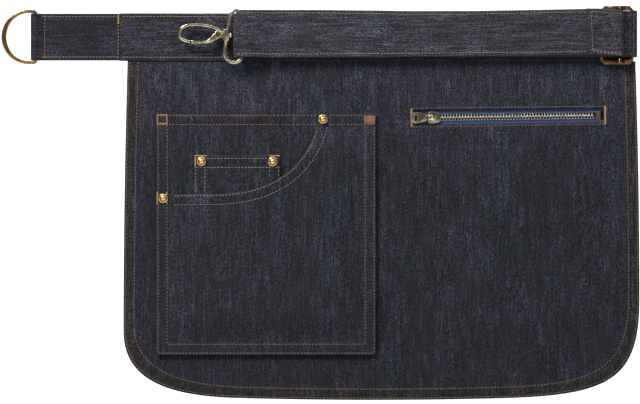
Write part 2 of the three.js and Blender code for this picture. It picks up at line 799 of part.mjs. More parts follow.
function makeSlide() {
  const c = slideChamfer;
  const frame = polygon([
    [slideLeft + c, slideBottom], [slideRight - c, slideBottom],
    [slideRight, slideBottom + c], [slideRight, slideTop - c],
    [slideRight - c, slideTop], [slideLeft + c, slideTop],
    [slideLeft, slideTop - c], [slideLeft, slideBottom + c],
  ]);
  const opening = polygon([
    [slideLeft + slideBar, slideBottom + slideRail], [slideRight - slideBar, slideBottom + slideRail],
    [slideRight - slideBar, slideTop - slideRail], [slideLeft + slideBar, slideTop - slideRail],
  ]);
  frame.holes.push(opening);
  const half = slideBar / 2;
  const posts = [[slideBottom + 0.4, slideBottom + slideRail], [slideTop - slideRail, slideTop - 0.4]];
  const raised = posts.map(([low, high]) => boxBetween(
    [centreBarX - half, centreBarFront, low],
    [centreBarX + half, slideBack - 1, high],
  ));
  const bar = new THREE.CylinderGeometry(half, half, slideHeight - 2, 16);
  bar.rotateX(Math.PI / 2);
  bar.translate(centreBarX, centreBarY, (slideTop + slideBottom) / 2);
  const flat = toSolid(flatGeometry(frame, slideBar, slideBack, 0.6));
  return [...raised, bar].map(toSolid).reduce((sum, part) => sum.add(part), flat);
}

addMesh('strap_slider', toGeometry(makeSlide()), copperBronze);

// ---- Hook ring: a wire ring in the belt's fold, a little out of square, with a swivel boss ----

const ringBarX = foldX + 3.2;
const swivelZ = 1.1;
const bossX = ringBarX - 12.9;
const ringStretch = (beltFoldHeight - 33) / 2; // the points below fit a fold 33 high
const ringPoints = [
  [0, -17.6], [-0.5, -19.4], [-3.2, -21.6], [-7.4, -21.9], [-12.2, -19.2], [-13.9, -14.6],
  [-13.1, -5.1], [-11.3, 6.8], [-10, 14.4], [-8.6, 19.4], [-5.6, 22.2], [-2.2, 21.8], [-0.4, 19.4],
  [0, 17.8], [0, 15.6], [0, 5], [0, -5], [0, -15.4],
].map(([x, z]) => [ringBarX + x, z + Math.sign(z) * ringStretch]);

function makeHookRing() {
  const shape = plateWithCentreline(ringPoints, true, wire, 48);
  const ring = toSolid(flatGeometry(shape, wire, ringY + wire / 2, 0.9));
  const half = bossHeight / 2;
  const blockShape = new THREE.Shape();
  const left = bossX - bossLength / 2;
  const right = bossX + bossLength / 2;
  blockShape.moveTo(left, swivelZ - half + 1.5);
  blockShape.lineTo(left + 1, swivelZ - half);
  blockShape.lineTo(right - 1, swivelZ - half);
  blockShape.lineTo(right, swivelZ - half + 1.5);
  blockShape.lineTo(right, swivelZ + half - 1.5);
  blockShape.lineTo(right - 1, swivelZ + half);
  blockShape.lineTo(left + 1, swivelZ + half);
  blockShape.lineTo(left, swivelZ + half - 1.5);
  const block = toSolid(flatGeometry(blockShape, bossDepth, ringY + bossDepth / 2, 0.6));
  const bore = cylinderAlongX(swivelPost + gap, bossX - 9, bossX + 9, ringY, swivelZ);
  return ring.add(block).subtract(bore);
}

addMesh('hook_ring', toGeometry(makeHookRing()), paleBrass);

// ---- Snap hook ----

const collarRight = bossX - bossLength / 2 - gap;
const hookLeft = collarRight - hookLength;
const pivotX = collarRight - 3.9;
const pivotZ = swivelZ + 0.5;
const armHalf = hookArm / 2;
const noseX = hookLeft + 10;

function makeHookBody() {
  const z = swivelZ;
  const points = [
    [collarRight - 2.1, z + 3.7],
    [collarRight - 4.4, z + 5.2],
    [collarRight - 9, z + 7],
    [collarRight - 15.5, z + 8.4],
    [hookLeft + 13.5, z + 9.1],
    [hookLeft + 7, z + 8.2],
    [hookLeft + 2.5, z + 5.5],
    [hookLeft + armHalf, z + 1.4],
    [hookLeft + 2.5, z - 2.6],
    [hookLeft + 6, z - 4.7],
    [noseX, z - 5.6],
  ];
  const arm = flatGeometry(
    plateWithCentreline(points, false, hookArm, 36), hookThickness, ringY + hookThickness / 2, 0.6,
  );
  const baseShape = polygon([
    [collarRight, z - 2.2], [collarRight, z + 4.1], [collarRight - 3.4, z + 4.6],
    [pivotX - 2.6, pivotZ + 2.2], [pivotX - 2.6, pivotZ - 1.6], [pivotX, pivotZ - gateLobe + 0.4],
  ].reverse());
  const base = flatGeometry(baseShape, hookThickness, ringY + hookThickness / 2);
  const cheekRoom = gateLobe + gap;
  const outside = hookThickness / 2 + 1;
  const inside = gateTongue / 2;
  const headLeft = bossX + bossLength / 2 + gap;
  return toSolid(arm)
    .add(toSolid(base))
    .subtract(holeAlongY(pivotX, pivotZ, cheekRoom, ringY + outside, ringY + inside, 28))
    .subtract(holeAlongY(pivotX, pivotZ, cheekRoom, ringY - inside, ringY - outside, 28))
    .subtract(holeAlongY(pivotX, pivotZ, gatePinRadius + gap, ringY + 3, ringY - 3))
    .add(cylinderAlongX(swivelPost, collarRight - 0.5, headLeft + 0.5, ringY, swivelZ))
    .add(cylinderAlongX(swivelHead, headLeft, headLeft + 1.7, ringY, swivelZ));
}

addMesh('hook_body', toGeometry(makeHookBody()), paleBrass);

const gateTip = noseX + 1.25;

function makeGate() {
  const z = swivelZ;
  const shape = new THREE.Shape();
  shape.moveTo(gateTip, z - 6.9);
  shape.quadraticCurveTo(gateTip + 8, z - 8.1, gateTip + 15, z - 6.7);
  shape.quadraticCurveTo(pivotX - 2.5, z - 5, pivotX + 0.35 * gateLobe, pivotZ - 0.94 * gateLobe);
  shape.absarc(pivotX, pivotZ, gateLobe, THREE.MathUtils.degToRad(-70), THREE.MathUtils.degToRad(140), false);
  shape.lineTo(gateTip + 14, z - 4.1);
  shape.quadraticCurveTo(gateTip + 8, z - 5.6, gateTip, z - 4.5);
  const solid = toSolid(flatGeometry(shape, gateThickness, ringY + gateThickness / 2, 0.35, 10));
  const half = gateSlot / 2;
  const springSlot = toSolid(boxBetween(
    [gateTip + 12, ringY - 0.8, z - 5.9],
    [pivotX - 1, ringY + 0.8, z + 1],
  ));
  return solid
    .subtract(holeAlongY(pivotX, pivotZ, gateLobe + 0.7, ringY + half, ringY - half, 28))
    .subtract(holeAlongY(pivotX, pivotZ, gatePinRadius + gap, ringY + 4, ringY - 4))
    .subtract(springSlot);
}

addMesh('hook_gate', toGeometry(makeGate()), paleBrass);

const pin = addMesh('hook_gate_pin', new THREE.CylinderGeometry(
  gatePinRadius, gatePinRadius, gateThickness + 0.6, 16,
), antiqueBrass);
pin.position.set(pivotX, ringY, pivotZ);

const springPath = new THREE.CatmullRomCurve3([
  new THREE.Vector3(gateTip + 12.6, ringY, swivelZ - 5.3),
  new THREE.Vector3(pivotX - 6.2, ringY, swivelZ - 4),
  new THREE.Vector3(pivotX - 3.5, ringY, swivelZ - 1.2),
]);
const springSection = new THREE.Shape();
springSection.absarc(0, 0, 0.35, 0, 2 * Math.PI, false);
addMesh('hook_gate_spring', new THREE.ExtrudeGeometry(springSection, {
  steps: 8, curveSegments: 4, extrudePath: springPath, bevelEnabled: false,
}), steelWire);

export default apron;
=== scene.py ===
import bpy
import math
import numpy as np
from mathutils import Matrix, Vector, noise
from mathutils.geometry import delaunay_2d_cdt


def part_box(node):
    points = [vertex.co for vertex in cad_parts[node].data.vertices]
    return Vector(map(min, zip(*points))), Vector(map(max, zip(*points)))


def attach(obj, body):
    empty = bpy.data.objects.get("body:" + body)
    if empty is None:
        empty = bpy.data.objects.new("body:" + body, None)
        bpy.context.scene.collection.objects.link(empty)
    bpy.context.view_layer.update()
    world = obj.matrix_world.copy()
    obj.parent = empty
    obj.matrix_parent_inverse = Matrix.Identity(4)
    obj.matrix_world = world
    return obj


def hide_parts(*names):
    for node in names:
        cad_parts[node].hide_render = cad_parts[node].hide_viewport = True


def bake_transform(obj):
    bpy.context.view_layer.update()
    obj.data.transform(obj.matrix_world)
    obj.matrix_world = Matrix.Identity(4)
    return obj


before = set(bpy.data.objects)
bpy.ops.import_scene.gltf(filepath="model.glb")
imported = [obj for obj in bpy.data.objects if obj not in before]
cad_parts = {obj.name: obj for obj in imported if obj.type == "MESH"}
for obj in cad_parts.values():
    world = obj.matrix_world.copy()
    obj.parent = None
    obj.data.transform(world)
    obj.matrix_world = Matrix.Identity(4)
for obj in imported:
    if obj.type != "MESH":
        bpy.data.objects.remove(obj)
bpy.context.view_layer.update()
mm = 0.001
bpy.ops.object.select_all(action="DESELECT")
print("frame loaded:", len(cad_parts), "nodes")


def boxMm(node):  # a node's low and high corners in millimetres
    low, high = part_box(node)
    return [c / mm for c in low], [c / mm for c in high]


def smoothStep(value):
    t = np.clip(value, 0, 1)
    return t * t * (3 - 2 * t)


def ripple(x, z, size, seed):  # smooth noise from -1 to 1, the same on every run
    flat = np.column_stack([np.ravel(x) / size[0], np.ravel(z) / size[1]])
    values = [noise.noise(Vector((a, b, seed))) for a, b in flat]
    return np.array(values).reshape(np.shape(x))


def newGroup(name, inputs, outputs):
    group = bpy.data.node_groups.new(name, "ShaderNodeTree")
    for label, kind, value in inputs:
        socket = group.interface.new_socket(label, in_out="INPUT", socket_type=kind)
        if value is not None:
            socket.default_value = value
    for label, kind in outputs:
        group.interface.new_socket(label, in_out="OUTPUT", socket_type=kind)
    return group


class Wiring:  # short names for making and joining nodes in one tree
    def __init__(self, tree):
        self.tree = tree

    def add(self, kind, **settings):
        node = self.tree.nodes.new(kind)
        for key, value in settings.items():
            setattr(node, key, value)
        return node

    def put(self, socket, value):
        if isinstance(value, bpy.types.NodeSocket):
            self.tree.links.new(value, socket)
        elif value is not None:
            socket.default_value = value

    def maths(self, operation, first, second=None, third=None):
        node = self.add("ShaderNodeMath", operation=operation)
        for socket, value in zip(node.inputs, (first, second, third)):
            self.put(socket, value)
        return node.outputs[0]

    def noise(self, vector, scale, detail=2.0, roughness=0.5):
        node = self.add("ShaderNodeTexNoise")
        self.put(node.inputs["Vector"], vector)
        node.inputs["Scale"].default_value = scale
        node.inputs["Detail"].default_value = detail
        node.inputs["Roughness"].default_value = roughness
        return node.outputs["Fac"]

    def stretch(self, vector, factors):
        node = self.add("ShaderNodeVectorMath", operation="MULTIPLY")
        self.put(node.inputs[0], vector)
        node.inputs[1].default_value = factors
        return node.outputs[0]

    def spread(self, value, low, high, toLow=0.0, toHigh=1.0):
        node = self.add("ShaderNodeMapRange")
        self.put(node.inputs["Value"], value)
        for label, number in (("From Min", low), ("From Max", high), ("To Min", toLow), ("To Max", toHigh)):
            self.put(node.inputs[label], number)
        return node.outputs["Result"]

    def blend(self, factor, first, second, mode="MIX"):
        node = self.add("ShaderNodeMix", data_type="RGBA", blend_type=mode)
        self.put(node.inputs["Factor"], factor)
        self.put(node.inputs[6], first)
        self.put(node.inputs[7], second)
        return node.outputs[2]


def makeDenimGroup():
    colour = "NodeSocketColor"
    number = "NodeSocketFloat"
    group = newGroup("denimWeave", [
        ("Vector", "NodeSocketVector", None),
        ("Warp", colour, (0.02, 0.02, 0.035, 1)),
        ("Weft", colour, (0.1, 0.1, 0.11, 1)),
        ("Tint A", colour, (0.03, 0.02, 0.04, 1)),
        ("Tint B", colour, (0.015, 0.03, 0.04, 1)),
        ("Bleach", colour, (0.1, 0.09, 0.08, 1)),
        ("Wear", number, 0.0),
        ("Threads", number, 1700.0),
    ], [("Color", colour), ("Height", number), ("Roughness", number)])
    w = Wiring(group)
    given = w.add("NodeGroupInput").outputs
    place = given["Vector"]
    parts = w.add("ShaderNodeSeparateXYZ")
    w.put(parts.inputs[0], place)
    across = w.maths("MULTIPLY", parts.outputs["X"], given["Threads"])
    along = w.maths("MULTIPLY", parts.outputs["Z"], given["Threads"])
    twillPhase = w.maths("MULTIPLY_ADD", along, 0.62, w.maths("MULTIPLY", across, 1.0))
    twill = w.maths("SINE", w.maths("MULTIPLY", twillPhase, 1.57))
    warpThread = w.maths("SINE", w.maths("MULTIPLY", across, 6.283))
    streak = w.noise(w.stretch(place, (1250, 300, 60)), 1.0, 2.0, 0.6)  # single warp ends, uneven in dye
    slub = w.noise(w.stretch(place, (420, 90, 11)), 1.0, 3.0, 0.62)  # thick and thin yarns
    mottle = w.noise(w.stretch(place, (34, 34, 20)), 1.0, 4.0, 0.6)
    hue = w.noise(w.stretch(place, (26, 30, 19)), 1.3, 3.0, 0.55)
    fleck = w.noise(w.stretch(place, (1300, 900, 900)), 1.0, 1.0, 0.5)
    tint = w.blend(w.spread(hue, 0.36, 0.64), given["Tint A"], given["Tint B"])
    body = w.blend(w.spread(mottle, 0.3, 0.7, 0.25, 0.75), given["Warp"], tint)
    grain = w.noise(w.stretch(place, (820, 820, 560)), 1.0, 2.0, 0.7)  # dye caught unevenly by the yarn
    foldShadeBlotch = w.noise(w.stretch(place, (105, 105, 42)), 1.0, 3.0, 0.6)  # upright blotches that paint the light and shade of soft folds, along with uneven tone
    streakShade = w.spread(streak, 0.37, 0.63, 0.35, 1.7)
    slubShade = w.spread(slub, 0.35, 0.65, 0.74, 1.28)
    # mottleShade is uneven tone together with painted light and shade of soft folds
    mottleShade = w.maths("MULTIPLY", w.spread(mottle, 0.3, 0.72, 0.66, 1.38),
        w.spread(foldShadeBlotch, 0.34, 0.68, 0.66, 1.38))
    grainShade = w.spread(grain, 0.39, 0.61, 0.12, 2.05)
    shade = w.maths("MULTIPLY", w.maths("MULTIPLY", streakShade, slubShade),
        w.maths("MULTIPLY", mottleShade, grainShade))
    grey = w.add("ShaderNodeCombineColor")
    for socket in grey.inputs[:3]:
        w.put(socket, shade)
    shaded = w.blend(1.0, body, grey.outputs[0], "MULTIPLY")
    weftShow = w.maths("MULTIPLY", w.spread(twill, 0.1, 1.0, 0.0, 0.34),
        w.spread(fleck, 0.36, 0.66, 0.2, 1.0))
    woven = w.blend(weftShow, shaded, given["Weft"])
    worn = w.maths("MULTIPLY", given["Wear"],
        w.spread(w.noise(w.stretch(place, (420, 420, 420)), 1.0), 0.3, 0.7, 0.25, 1.0))
    final = w.blend(worn, woven, given["Bleach"])
    height = w.maths("ADD", w.maths("MULTIPLY", warpThread, 0.22), w.maths("MULTIPLY", twill, 0.4))
    height = w.maths("ADD", height, w.maths("MULTIPLY", w.maths("ADD", streak, slub), 0.9))
    rough = w.spread(mottle, 0.3, 0.7, 0.8, 0.94)
    out = w.add("NodeGroupOutput").inputs
    w.put(out["Color"], final)
    w.put(out["Height"], height)
    w.put(out["Roughness"], rough)
    return group


def makeMetalGroup():
    colour = "NodeSocketColor"
    number = "NodeSocketFloat"
    group = newGroup("agedMetal", [
        ("Vector", "NodeSocketVector", None),
        ("Bright", colour, (0.6, 0.5, 0.3, 1)),
        ("Tarnish", colour, (0.1, 0.07, 0.03, 1)),
        ("Amount", number, 0.4),
        ("Smooth", number, 0.25),
        ("Dull", number, 0.5),
    ], [("Color", colour), ("Height", number), ("Roughness", number)])
    w = Wiring(group)
    given = w.add("NodeGroupInput").outputs
    place = given["Vector"]
    patches = w.noise(w.stretch(place, (150, 150, 150)), 1.0, 5.0, 0.62)
    pits = w.noise(w.stretch(place, (1500, 1500, 1500)), 1.0, 2.0, 0.6)
    scratches = w.noise(w.stretch(place, (260, 260, 4200)), 1.0, 2.0, 0.5)
    mask = w.maths("MULTIPLY", w.spread(patches, 0.38, 0.66), given["Amount"])
    speck = w.maths("MULTIPLY", w.spread(pits, 0.5, 0.68), 0.35)
    mask = w.maths("MINIMUM", w.maths("ADD", mask, w.maths("MULTIPLY", speck, given["Amount"])), 1.0)
    out = w.add("NodeGroupOutput").inputs
    w.put(out["Color"], w.blend(mask, given["Bright"], given["Tarnish"]))
    w.put(out["Height"], w.maths("MULTIPLY_ADD", scratches, 0.4, w.maths("MULTIPLY", pits, 0.6)))
    rough = w.spread(w.maths("MULTIPLY_ADD", scratches, 0.3, w.maths("MULTIPLY", mask, 0.7)), 0.1, 0.8,
        given["Smooth"], given["Dull"])
    w.put(out["Roughness"], rough)
    return group


denimGroup = makeDenimGroup()
metalGroup = makeMetalGroup()


def startMaterial(name):
    material = bpy.data.materials.new(name)
    material.use_nodes = True
    w = Wiring(material.node_tree)
    shader = material.node_tree.nodes["Principled BSDF"]
    place = w.add("ShaderNodeTexCoord").outputs["Object"]
    return material, w, shader, place


def bumpFrom(w, height, strength, distance):
    node = w.add("ShaderNodeBump")
    node.inputs["Strength"].default_value = strength
    node.inputs["Distance"].default_value = distance
    w.put(node.inputs["Height"], height)
    return node.outputs["Normal"]


denimLooks = {
    "warp": (0.0225, 0.0215, 0.0320, 1),
    "weft": (0.075, 0.072, 0.080, 1),
    "tintA": (0.0285, 0.0215, 0.0360, 1),  # toward plum
    "tintB": (0.0175, 0.0245, 0.0350, 1),  # toward teal
    "bleach": (0.080, 0.068, 0.060, 1),
    "threads": 1650.0,  # warp ends in a metre of cloth
    "bump": 0.55,
}


def makeDenim(name, turned=False, shade=1.0, brown=0.0, paintedLightAndTone=None):
    material, w, shader, place = startMaterial(name)
    if turned:  # the grain runs along the band
        mapping = w.add("ShaderNodeMapping")
        mapping.inputs["Rotation"].default_value = (0, math.pi / 2, 0)
        w.put(mapping.inputs["Vector"], place)
        place = mapping.outputs["Vector"]
    cloth = w.add("ShaderNodeGroup", node_tree=denimGroup)
    w.put(cloth.inputs["Vector"], place)
    for label, key in (("Warp", "warp"), ("Weft", "weft"), ("Tint A", "tintA"), ("Tint B", "tintB"),
        ("Bleach", "bleach")):
        r, g, b, a = denimLooks[key]
        r, g, b = r * shade * (1 + 0.12 * brown), g * shade, b * shade * (1 - 0.2 * brown)
        cloth.inputs[label].default_value = (r, g, b, a)
    cloth.inputs["Threads"].default_value = denimLooks["threads"]
    wear = w.add("ShaderNodeAttribute", attribute_name="wear")
    w.put(cloth.inputs["Wear"], wear.outputs["Fac"])
    colour = cloth.outputs["Color"]
    if paintedLightAndTone:  # painted light: the colour is made lighter toward the top and darker lower down, as the lamps fall; low and high z with the shade at each
        parts = w.add("ShaderNodeSeparateXYZ")
        w.put(parts.inputs[0], place)
        level = w.add("ShaderNodeCombineColor")
        for socket in level.inputs[:3]:
            w.put(socket, w.spread(parts.outputs["Z"], *paintedLightAndTone))
        colour = w.blend(1.0, colour, level.outputs[0], "MULTIPLY")
    w.put(shader.inputs["Base Color"], colour)
    w.put(shader.inputs["Roughness"], cloth.outputs["Roughness"])
    w.put(shader.inputs["Normal"], bumpFrom(w, cloth.outputs["Height"], denimLooks["bump"], 0.00035))
    shader.inputs["Specular IOR Level"].default_value = 0.18
    shader.inputs["Sheen Weight"].default_value = 0.08
    shader.inputs["Sheen Roughness"].default_value = 0.45
    shader.inputs["Sheen Tint"].default_value = (0.5, 0.52, 0.62, 1)
    return material


def makeThread(name, colour):
    material, w, shader, place = startMaterial(name)
    ply = w.noise(w.stretch(place, (2600, 2600, 2600)), 1.0, 1.0)
    # uneven tone along the thread
    paintedLightAndTone = w.noise(w.stretch(place, (90, 90, 90)), 1.0, 2.0)
    dark = tuple(c * 0.62 for c in colour[:3]) + (1,)
    w.put(shader.inputs["Base Color"], w.blend(w.spread(w.maths("ADD", ply, paintedLightAndTone), 0.75, 1.3), dark, colour))
    w.put(shader.inputs["Roughness"], w.spread(ply, 0.3, 0.7, 0.55, 0.75))
    w.put(shader.inputs["Normal"], bumpFrom(w, ply, 0.5, 0.0001))
    shader.inputs["Sheen Weight"].default_value = 0.2
    return material


def makeMetal(name, bright, tarnish, amount, smooth, dull, groove=None):
    material, w, shader, place = startMaterial(name)
    metal = w.add("ShaderNodeGroup", node_tree=metalGroup)
    w.put(metal.inputs["Vector"], place)
    metal.inputs["Bright"].default_value = bright
    metal.inputs["Tarnish"].default_value = tarnish
    metal.inputs["Amount"].default_value = amount
    metal.inputs["Smooth"].default_value = smooth
    metal.inputs["Dull"].default_value = dull
    colour = metal.outputs["Color"]
    if groove:  # centre, inner and outer radius of a ring that holds old polish
        centred = w.add("ShaderNodeVectorMath", operation="SUBTRACT")
        w.put(centred.inputs[0], place)
        centred.inputs[1].default_value = groove["centre"]
        flat = w.stretch(centred.outputs[0], (1, 0, 1))
        reach = w.add("ShaderNodeVectorMath", operation="LENGTH")
        w.put(reach.inputs[0], flat)
        radius = reach.outputs["Value"]
        inside = w.spread(radius, groove["inner"] - 0.0003, groove["inner"] + 0.0001)
        outside = w.spread(radius, groove["outer"] + 0.0003, groove["outer"] - 0.0001)
        colour = w.blend(w.maths("MULTIPLY", w.maths("MULTIPLY", inside, outside), 0.9), colour, tarnish)
    w.put(shader.inputs["Base Color"], colour)
    w.put(shader.inputs["Roughness"], metal.outputs["Roughness"])
    w.put(shader.inputs["Normal"], bumpFrom(w, metal.outputs["Height"], 0.25, 0.00006))
    shader.inputs["Metallic"].default_value = 1.0
    return material


def makeWoven(name, dark, light, ribs, roughness):
    material, w, shader, place = startMaterial(name)
    parts = w.add("ShaderNodeSeparateXYZ")
    w.put(parts.inputs[0], place)
    ribX = w.maths("SINE", w.maths("MULTIPLY", parts.outputs["X"], ribs[0]))
    ribZ = w.maths("SINE", w.maths("MULTIPLY", parts.outputs["Z"], ribs[1]))
    grain = w.noise(w.stretch(place, (900, 900, 900)), 1.0, 2.0)
    weave = w.maths("MULTIPLY_ADD", ribX, ribZ, w.maths("MULTIPLY", grain, 1.2))
    w.put(shader.inputs["Base Color"], w.blend(w.spread(weave, -0.4, 1.5), dark, light))
    w.put(shader.inputs["Roughness"], w.spread(grain, 0.3, 0.7, roughness - 0.08, roughness + 0.08))
    w.put(shader.inputs["Normal"], bumpFrom(w, weave, 0.5, 0.0002))
    shader.inputs["Sheen Weight"].default_value = 0.2
    return material


# panel and hem carry painted light: lighter toward the top, darker toward the bottom
panelDenim = makeDenim("panelDenim", shade=0.5, brown=-0.25, paintedLightAndTone=(-0.12, -0.03, 0.97, 1.45))
hemDenim = makeDenim("hemDenim", shade=0.54, brown=1.3, paintedLightAndTone=(-0.3, -0.03, 0.9, 1.15))
pocketDenim = makeDenim("pocketDenim", shade=0.53, brown=-0.15)
tabDenim = makeDenim("tabDenim", turned=True, shade=0.45, brown=0.0)
bandDenim = makeDenim("bandDenim", turned=True, shade=0.68, brown=0.2)
strapDenim = makeDenim("strapDenim", turned=True, shade=0.94, brown=0.3)
liningCloth = makeWoven("liningCloth", (0.010, 0.011, 0.018, 1), (0.030, 0.031, 0.045, 1), (9000, 9000), 0.85)
tapeCloth = makeWoven("tapeCloth", (0.006, 0.013, 0.055, 1), (0.013, 0.032, 0.125, 1), (5200, 3400), 0.75)
creamThread = makeThread("creamThread", (0.25, 0.21, 0.16, 1))
tanThread = makeThread("tanThread", (0.155, 0.125, 0.09, 1))
goldThread = makeThread("goldThread", (0.36, 0.21, 0.075, 1))
copperThread = makeThread("copperThread", (0.25, 0.115, 0.055, 1))
ringBrass = makeMetal("ringBrass", (0.24, 0.145, 0.048, 1), (0.055, 0.035, 0.018, 1), 0.7, 0.2, 0.42)
hookBrass = makeMetal("hookBrass", (0.52, 0.46, 0.31, 1), (0.035, 0.024, 0.016, 1), 0.95, 0.12, 0.4)
sliderBronze = makeMetal("sliderBronze", (0.19, 0.098, 0.052, 1), (0.035, 0.02, 0.014, 1), 0.9, 0.2, 0.46)
rivetGold = makeMetal("rivetGold", (0.50, 0.30, 0.11, 1), (0.16, 0.08, 0.03, 1), 0.6, 0.16, 0.45)
zipMetal = makeMetal("zipMetal", (0.30, 0.25, 0.16, 1), (0.05, 0.04, 0.028, 1), 0.8, 0.16, 0.42)
toothMetal = makeMetal("toothMetal", (0.66, 0.60, 0.47, 1), (0.2, 0.16, 0.11, 1), 0.5, 0.16, 0.4)
springSteel = makeMetal("springSteel", (0.55, 0.54, 0.52, 1), (0.15, 0.12, 0.1, 1), 0.4, 0.25, 0.45)
print("materials made")


def writeMesh(name, points, faces, materials, wear=None, smooth=True):
    mesh = bpy.data.meshes.new(name)
    mesh.from_pydata((np.asarray(points, float) * mm).tolist(), [], faces)
    mesh.validate()
    if wear is not None:
        layer = mesh.attributes.new("wear", "FLOAT", "POINT")
        layer.data.foreach_set("value", np.asarray(wear, np.float32))
    piece = bpy.data.objects.new(name, mesh)
    bpy.context.scene.collection.objects.link(piece)
    for material in materials:
        mesh.materials.append(material)
    if smooth:
        mesh.polygons.foreach_set("use_smooth", [True] * len(mesh.polygons))
    mesh.update()
    return piece


def resample(points, step, closed=True):
    points = [np.array(p, float) for p in points]
    if closed:
        points = points + [points[0]]
    out = []
    for a, b in zip(points, points[1:]):
        count = max(1, int(round(np.linalg.norm(b - a) / step)))
        out += [a + (b - a) * i / count for i in range(count)]
    if not closed:
        out.append(points[-1])
    return np.array(out)


def insetLoop(loop, distance):  # loop runs anticlockwise, so the inside is on its left
    before = loop - np.roll(loop, 1, axis=0)
    after = np.roll(loop, -1, axis=0) - loop
    before /= np.maximum(np.linalg.norm(before, axis=1, keepdims=True), 1e-9)
    after /= np.maximum(np.linalg.norm(after, axis=1, keepdims=True), 1e-9)
    side = np.column_stack([-(before + after)[:, 1], (before + after)[:, 0]])
    length = np.maximum(np.linalg.norm(side, axis=1, keepdims=True), 1e-9)
    side /= length
    spread = np.maximum(length / 2, 0.5)
    return loop + side * distance / spread


def edgeDistance(points, loops):
    best = np.full(len(points), 1e9)
    for loop in loops:
        for a, b in zip(loop, np.roll(loop, -1, axis=0)):
            run = b - a
            t = np.clip(((points - a) @ run) / max(run @ run, 1e-9), 0, 1)
            best = np.minimum(best, np.hypot(*(points - a - t[:, None] * run).T))
    return best


def insideLoop(points, loop):
    inside = np.zeros(len(points), bool)
    for (ax, az), (bx, bz) in zip(loop, np.roll(loop, -1, axis=0)):
        crosses = (az > points[:, 1]) != (bz > points[:, 1])
        where = (bx - ax) * (points[:, 1] - az) / (bz - az if bz != az else 1e-9) + ax
        inside ^= crosses & (points[:, 0] < where)
    return inside


def clothSheet(name, outline, look, materials, holes=(), hemPart=None):
    edge = resample(outline, look["edgeStep"])
    loops = [edge] + [resample(hole, look["edgeStep"]) for hole in holes]
    rings = []
    for loop, sign in [(edge, 1)] + [(hole, -1) for hole in loops[1:]]:
        for distance in look["rings"]:
            rings.append(insetLoop(loop, sign * distance))
    low, high = edge.min(axis=0), edge.max(axis=0)
    gx, gz = np.meshgrid(np.arange(low[0], high[0], look["step"]), np.arange(low[1], high[1], look["step"]))
    inner = np.column_stack([gx.ravel(), gz.ravel()])
    ringPoints = np.concatenate(rings) if rings else np.zeros((0, 2))
    keepRing = insideLoop(ringPoints, edge) & (edgeDistance(ringPoints, loops) > 0.2)
    keep = insideLoop(inner, edge)
    for hole in loops[1:]:
        keep &= ~insideLoop(inner, hole)
        keepRing &= ~insideLoop(ringPoints, hole)
    inner = inner[keep]
    inner = inner[edgeDistance(inner,
        loops) > (max(look["rings"]) + 0.5 * look["step"] if look["rings"] else 0.5 * look["step"])]
    points = np.concatenate(loops + [ringPoints[keepRing], inner])
    edges = []
    start = 0
    for loop in loops:
        edges += [(start + i, start + (i + 1) % len(loop)) for i in range(len(loop))]
        start += len(loop)
    found = delaunay_2d_cdt([Vector(p) for p in points], edges, [], 0, 1e-5)
    flat = np.array([(p.x, p.y) for p in found[0]])
    triangles = np.array([list(face) for face in found[2]])
    middles = flat[triangles].mean(axis=1)
    wanted = insideLoop(middles, edge)
    for hole in loops[1:]:
        wanted &= ~insideLoop(middles, hole)
    triangles = triangles[wanted].tolist()
    distance = edgeDistance(flat, loops)
    x, z = flat[:, 0], flat[:, 1]
    front, back = look["front"](x, z, distance), look["back"](x, z, distance)
    middle = (front + back) / 2
    half = (back - front) / 2
    roundness = np.sqrt(np.clip(1 - (1 - np.clip(distance / look["round"], 0, 1)) ** 2, 0.03, 1))
    frontPoints = np.column_stack([x, middle - half * roundness, z])
    backPoints = np.column_stack([x, middle + half * roundness, z])
    count = len(flat)
    faces = []
    used = {}
    for a, b, c in triangles:
        area = (x[b] - x[a]) * (z[c] - z[a]) - (x[c] - x[a]) * (z[b] - z[a])
        if area < 0:
            b, c = c, b
        faces += [(a, b, c), (a + count, c + count, b + count)]
        for pair in ((a, b), (b, c), (c, a)):
            used[pair] = True
    for a, b in list(used):
        if (b, a) not in used:
            faces.append((b, a, a + count, b + count))
    wear = np.tile(look["wear"](x, z, distance), 2)
    piece = writeMesh(name, np.concatenate([frontPoints, backPoints]), faces, materials, wear)
    if hemPart is not None:  # the turned edge takes the second material
        centres = np.array([(p.center.x / mm, p.center.z / mm) for p in piece.data.polygons])
        near = edgeDistance(centres, loops[:1]) < hemPart
        piece.data.polygons.foreach_set("material_index", near.astype(np.int32))
    return piece


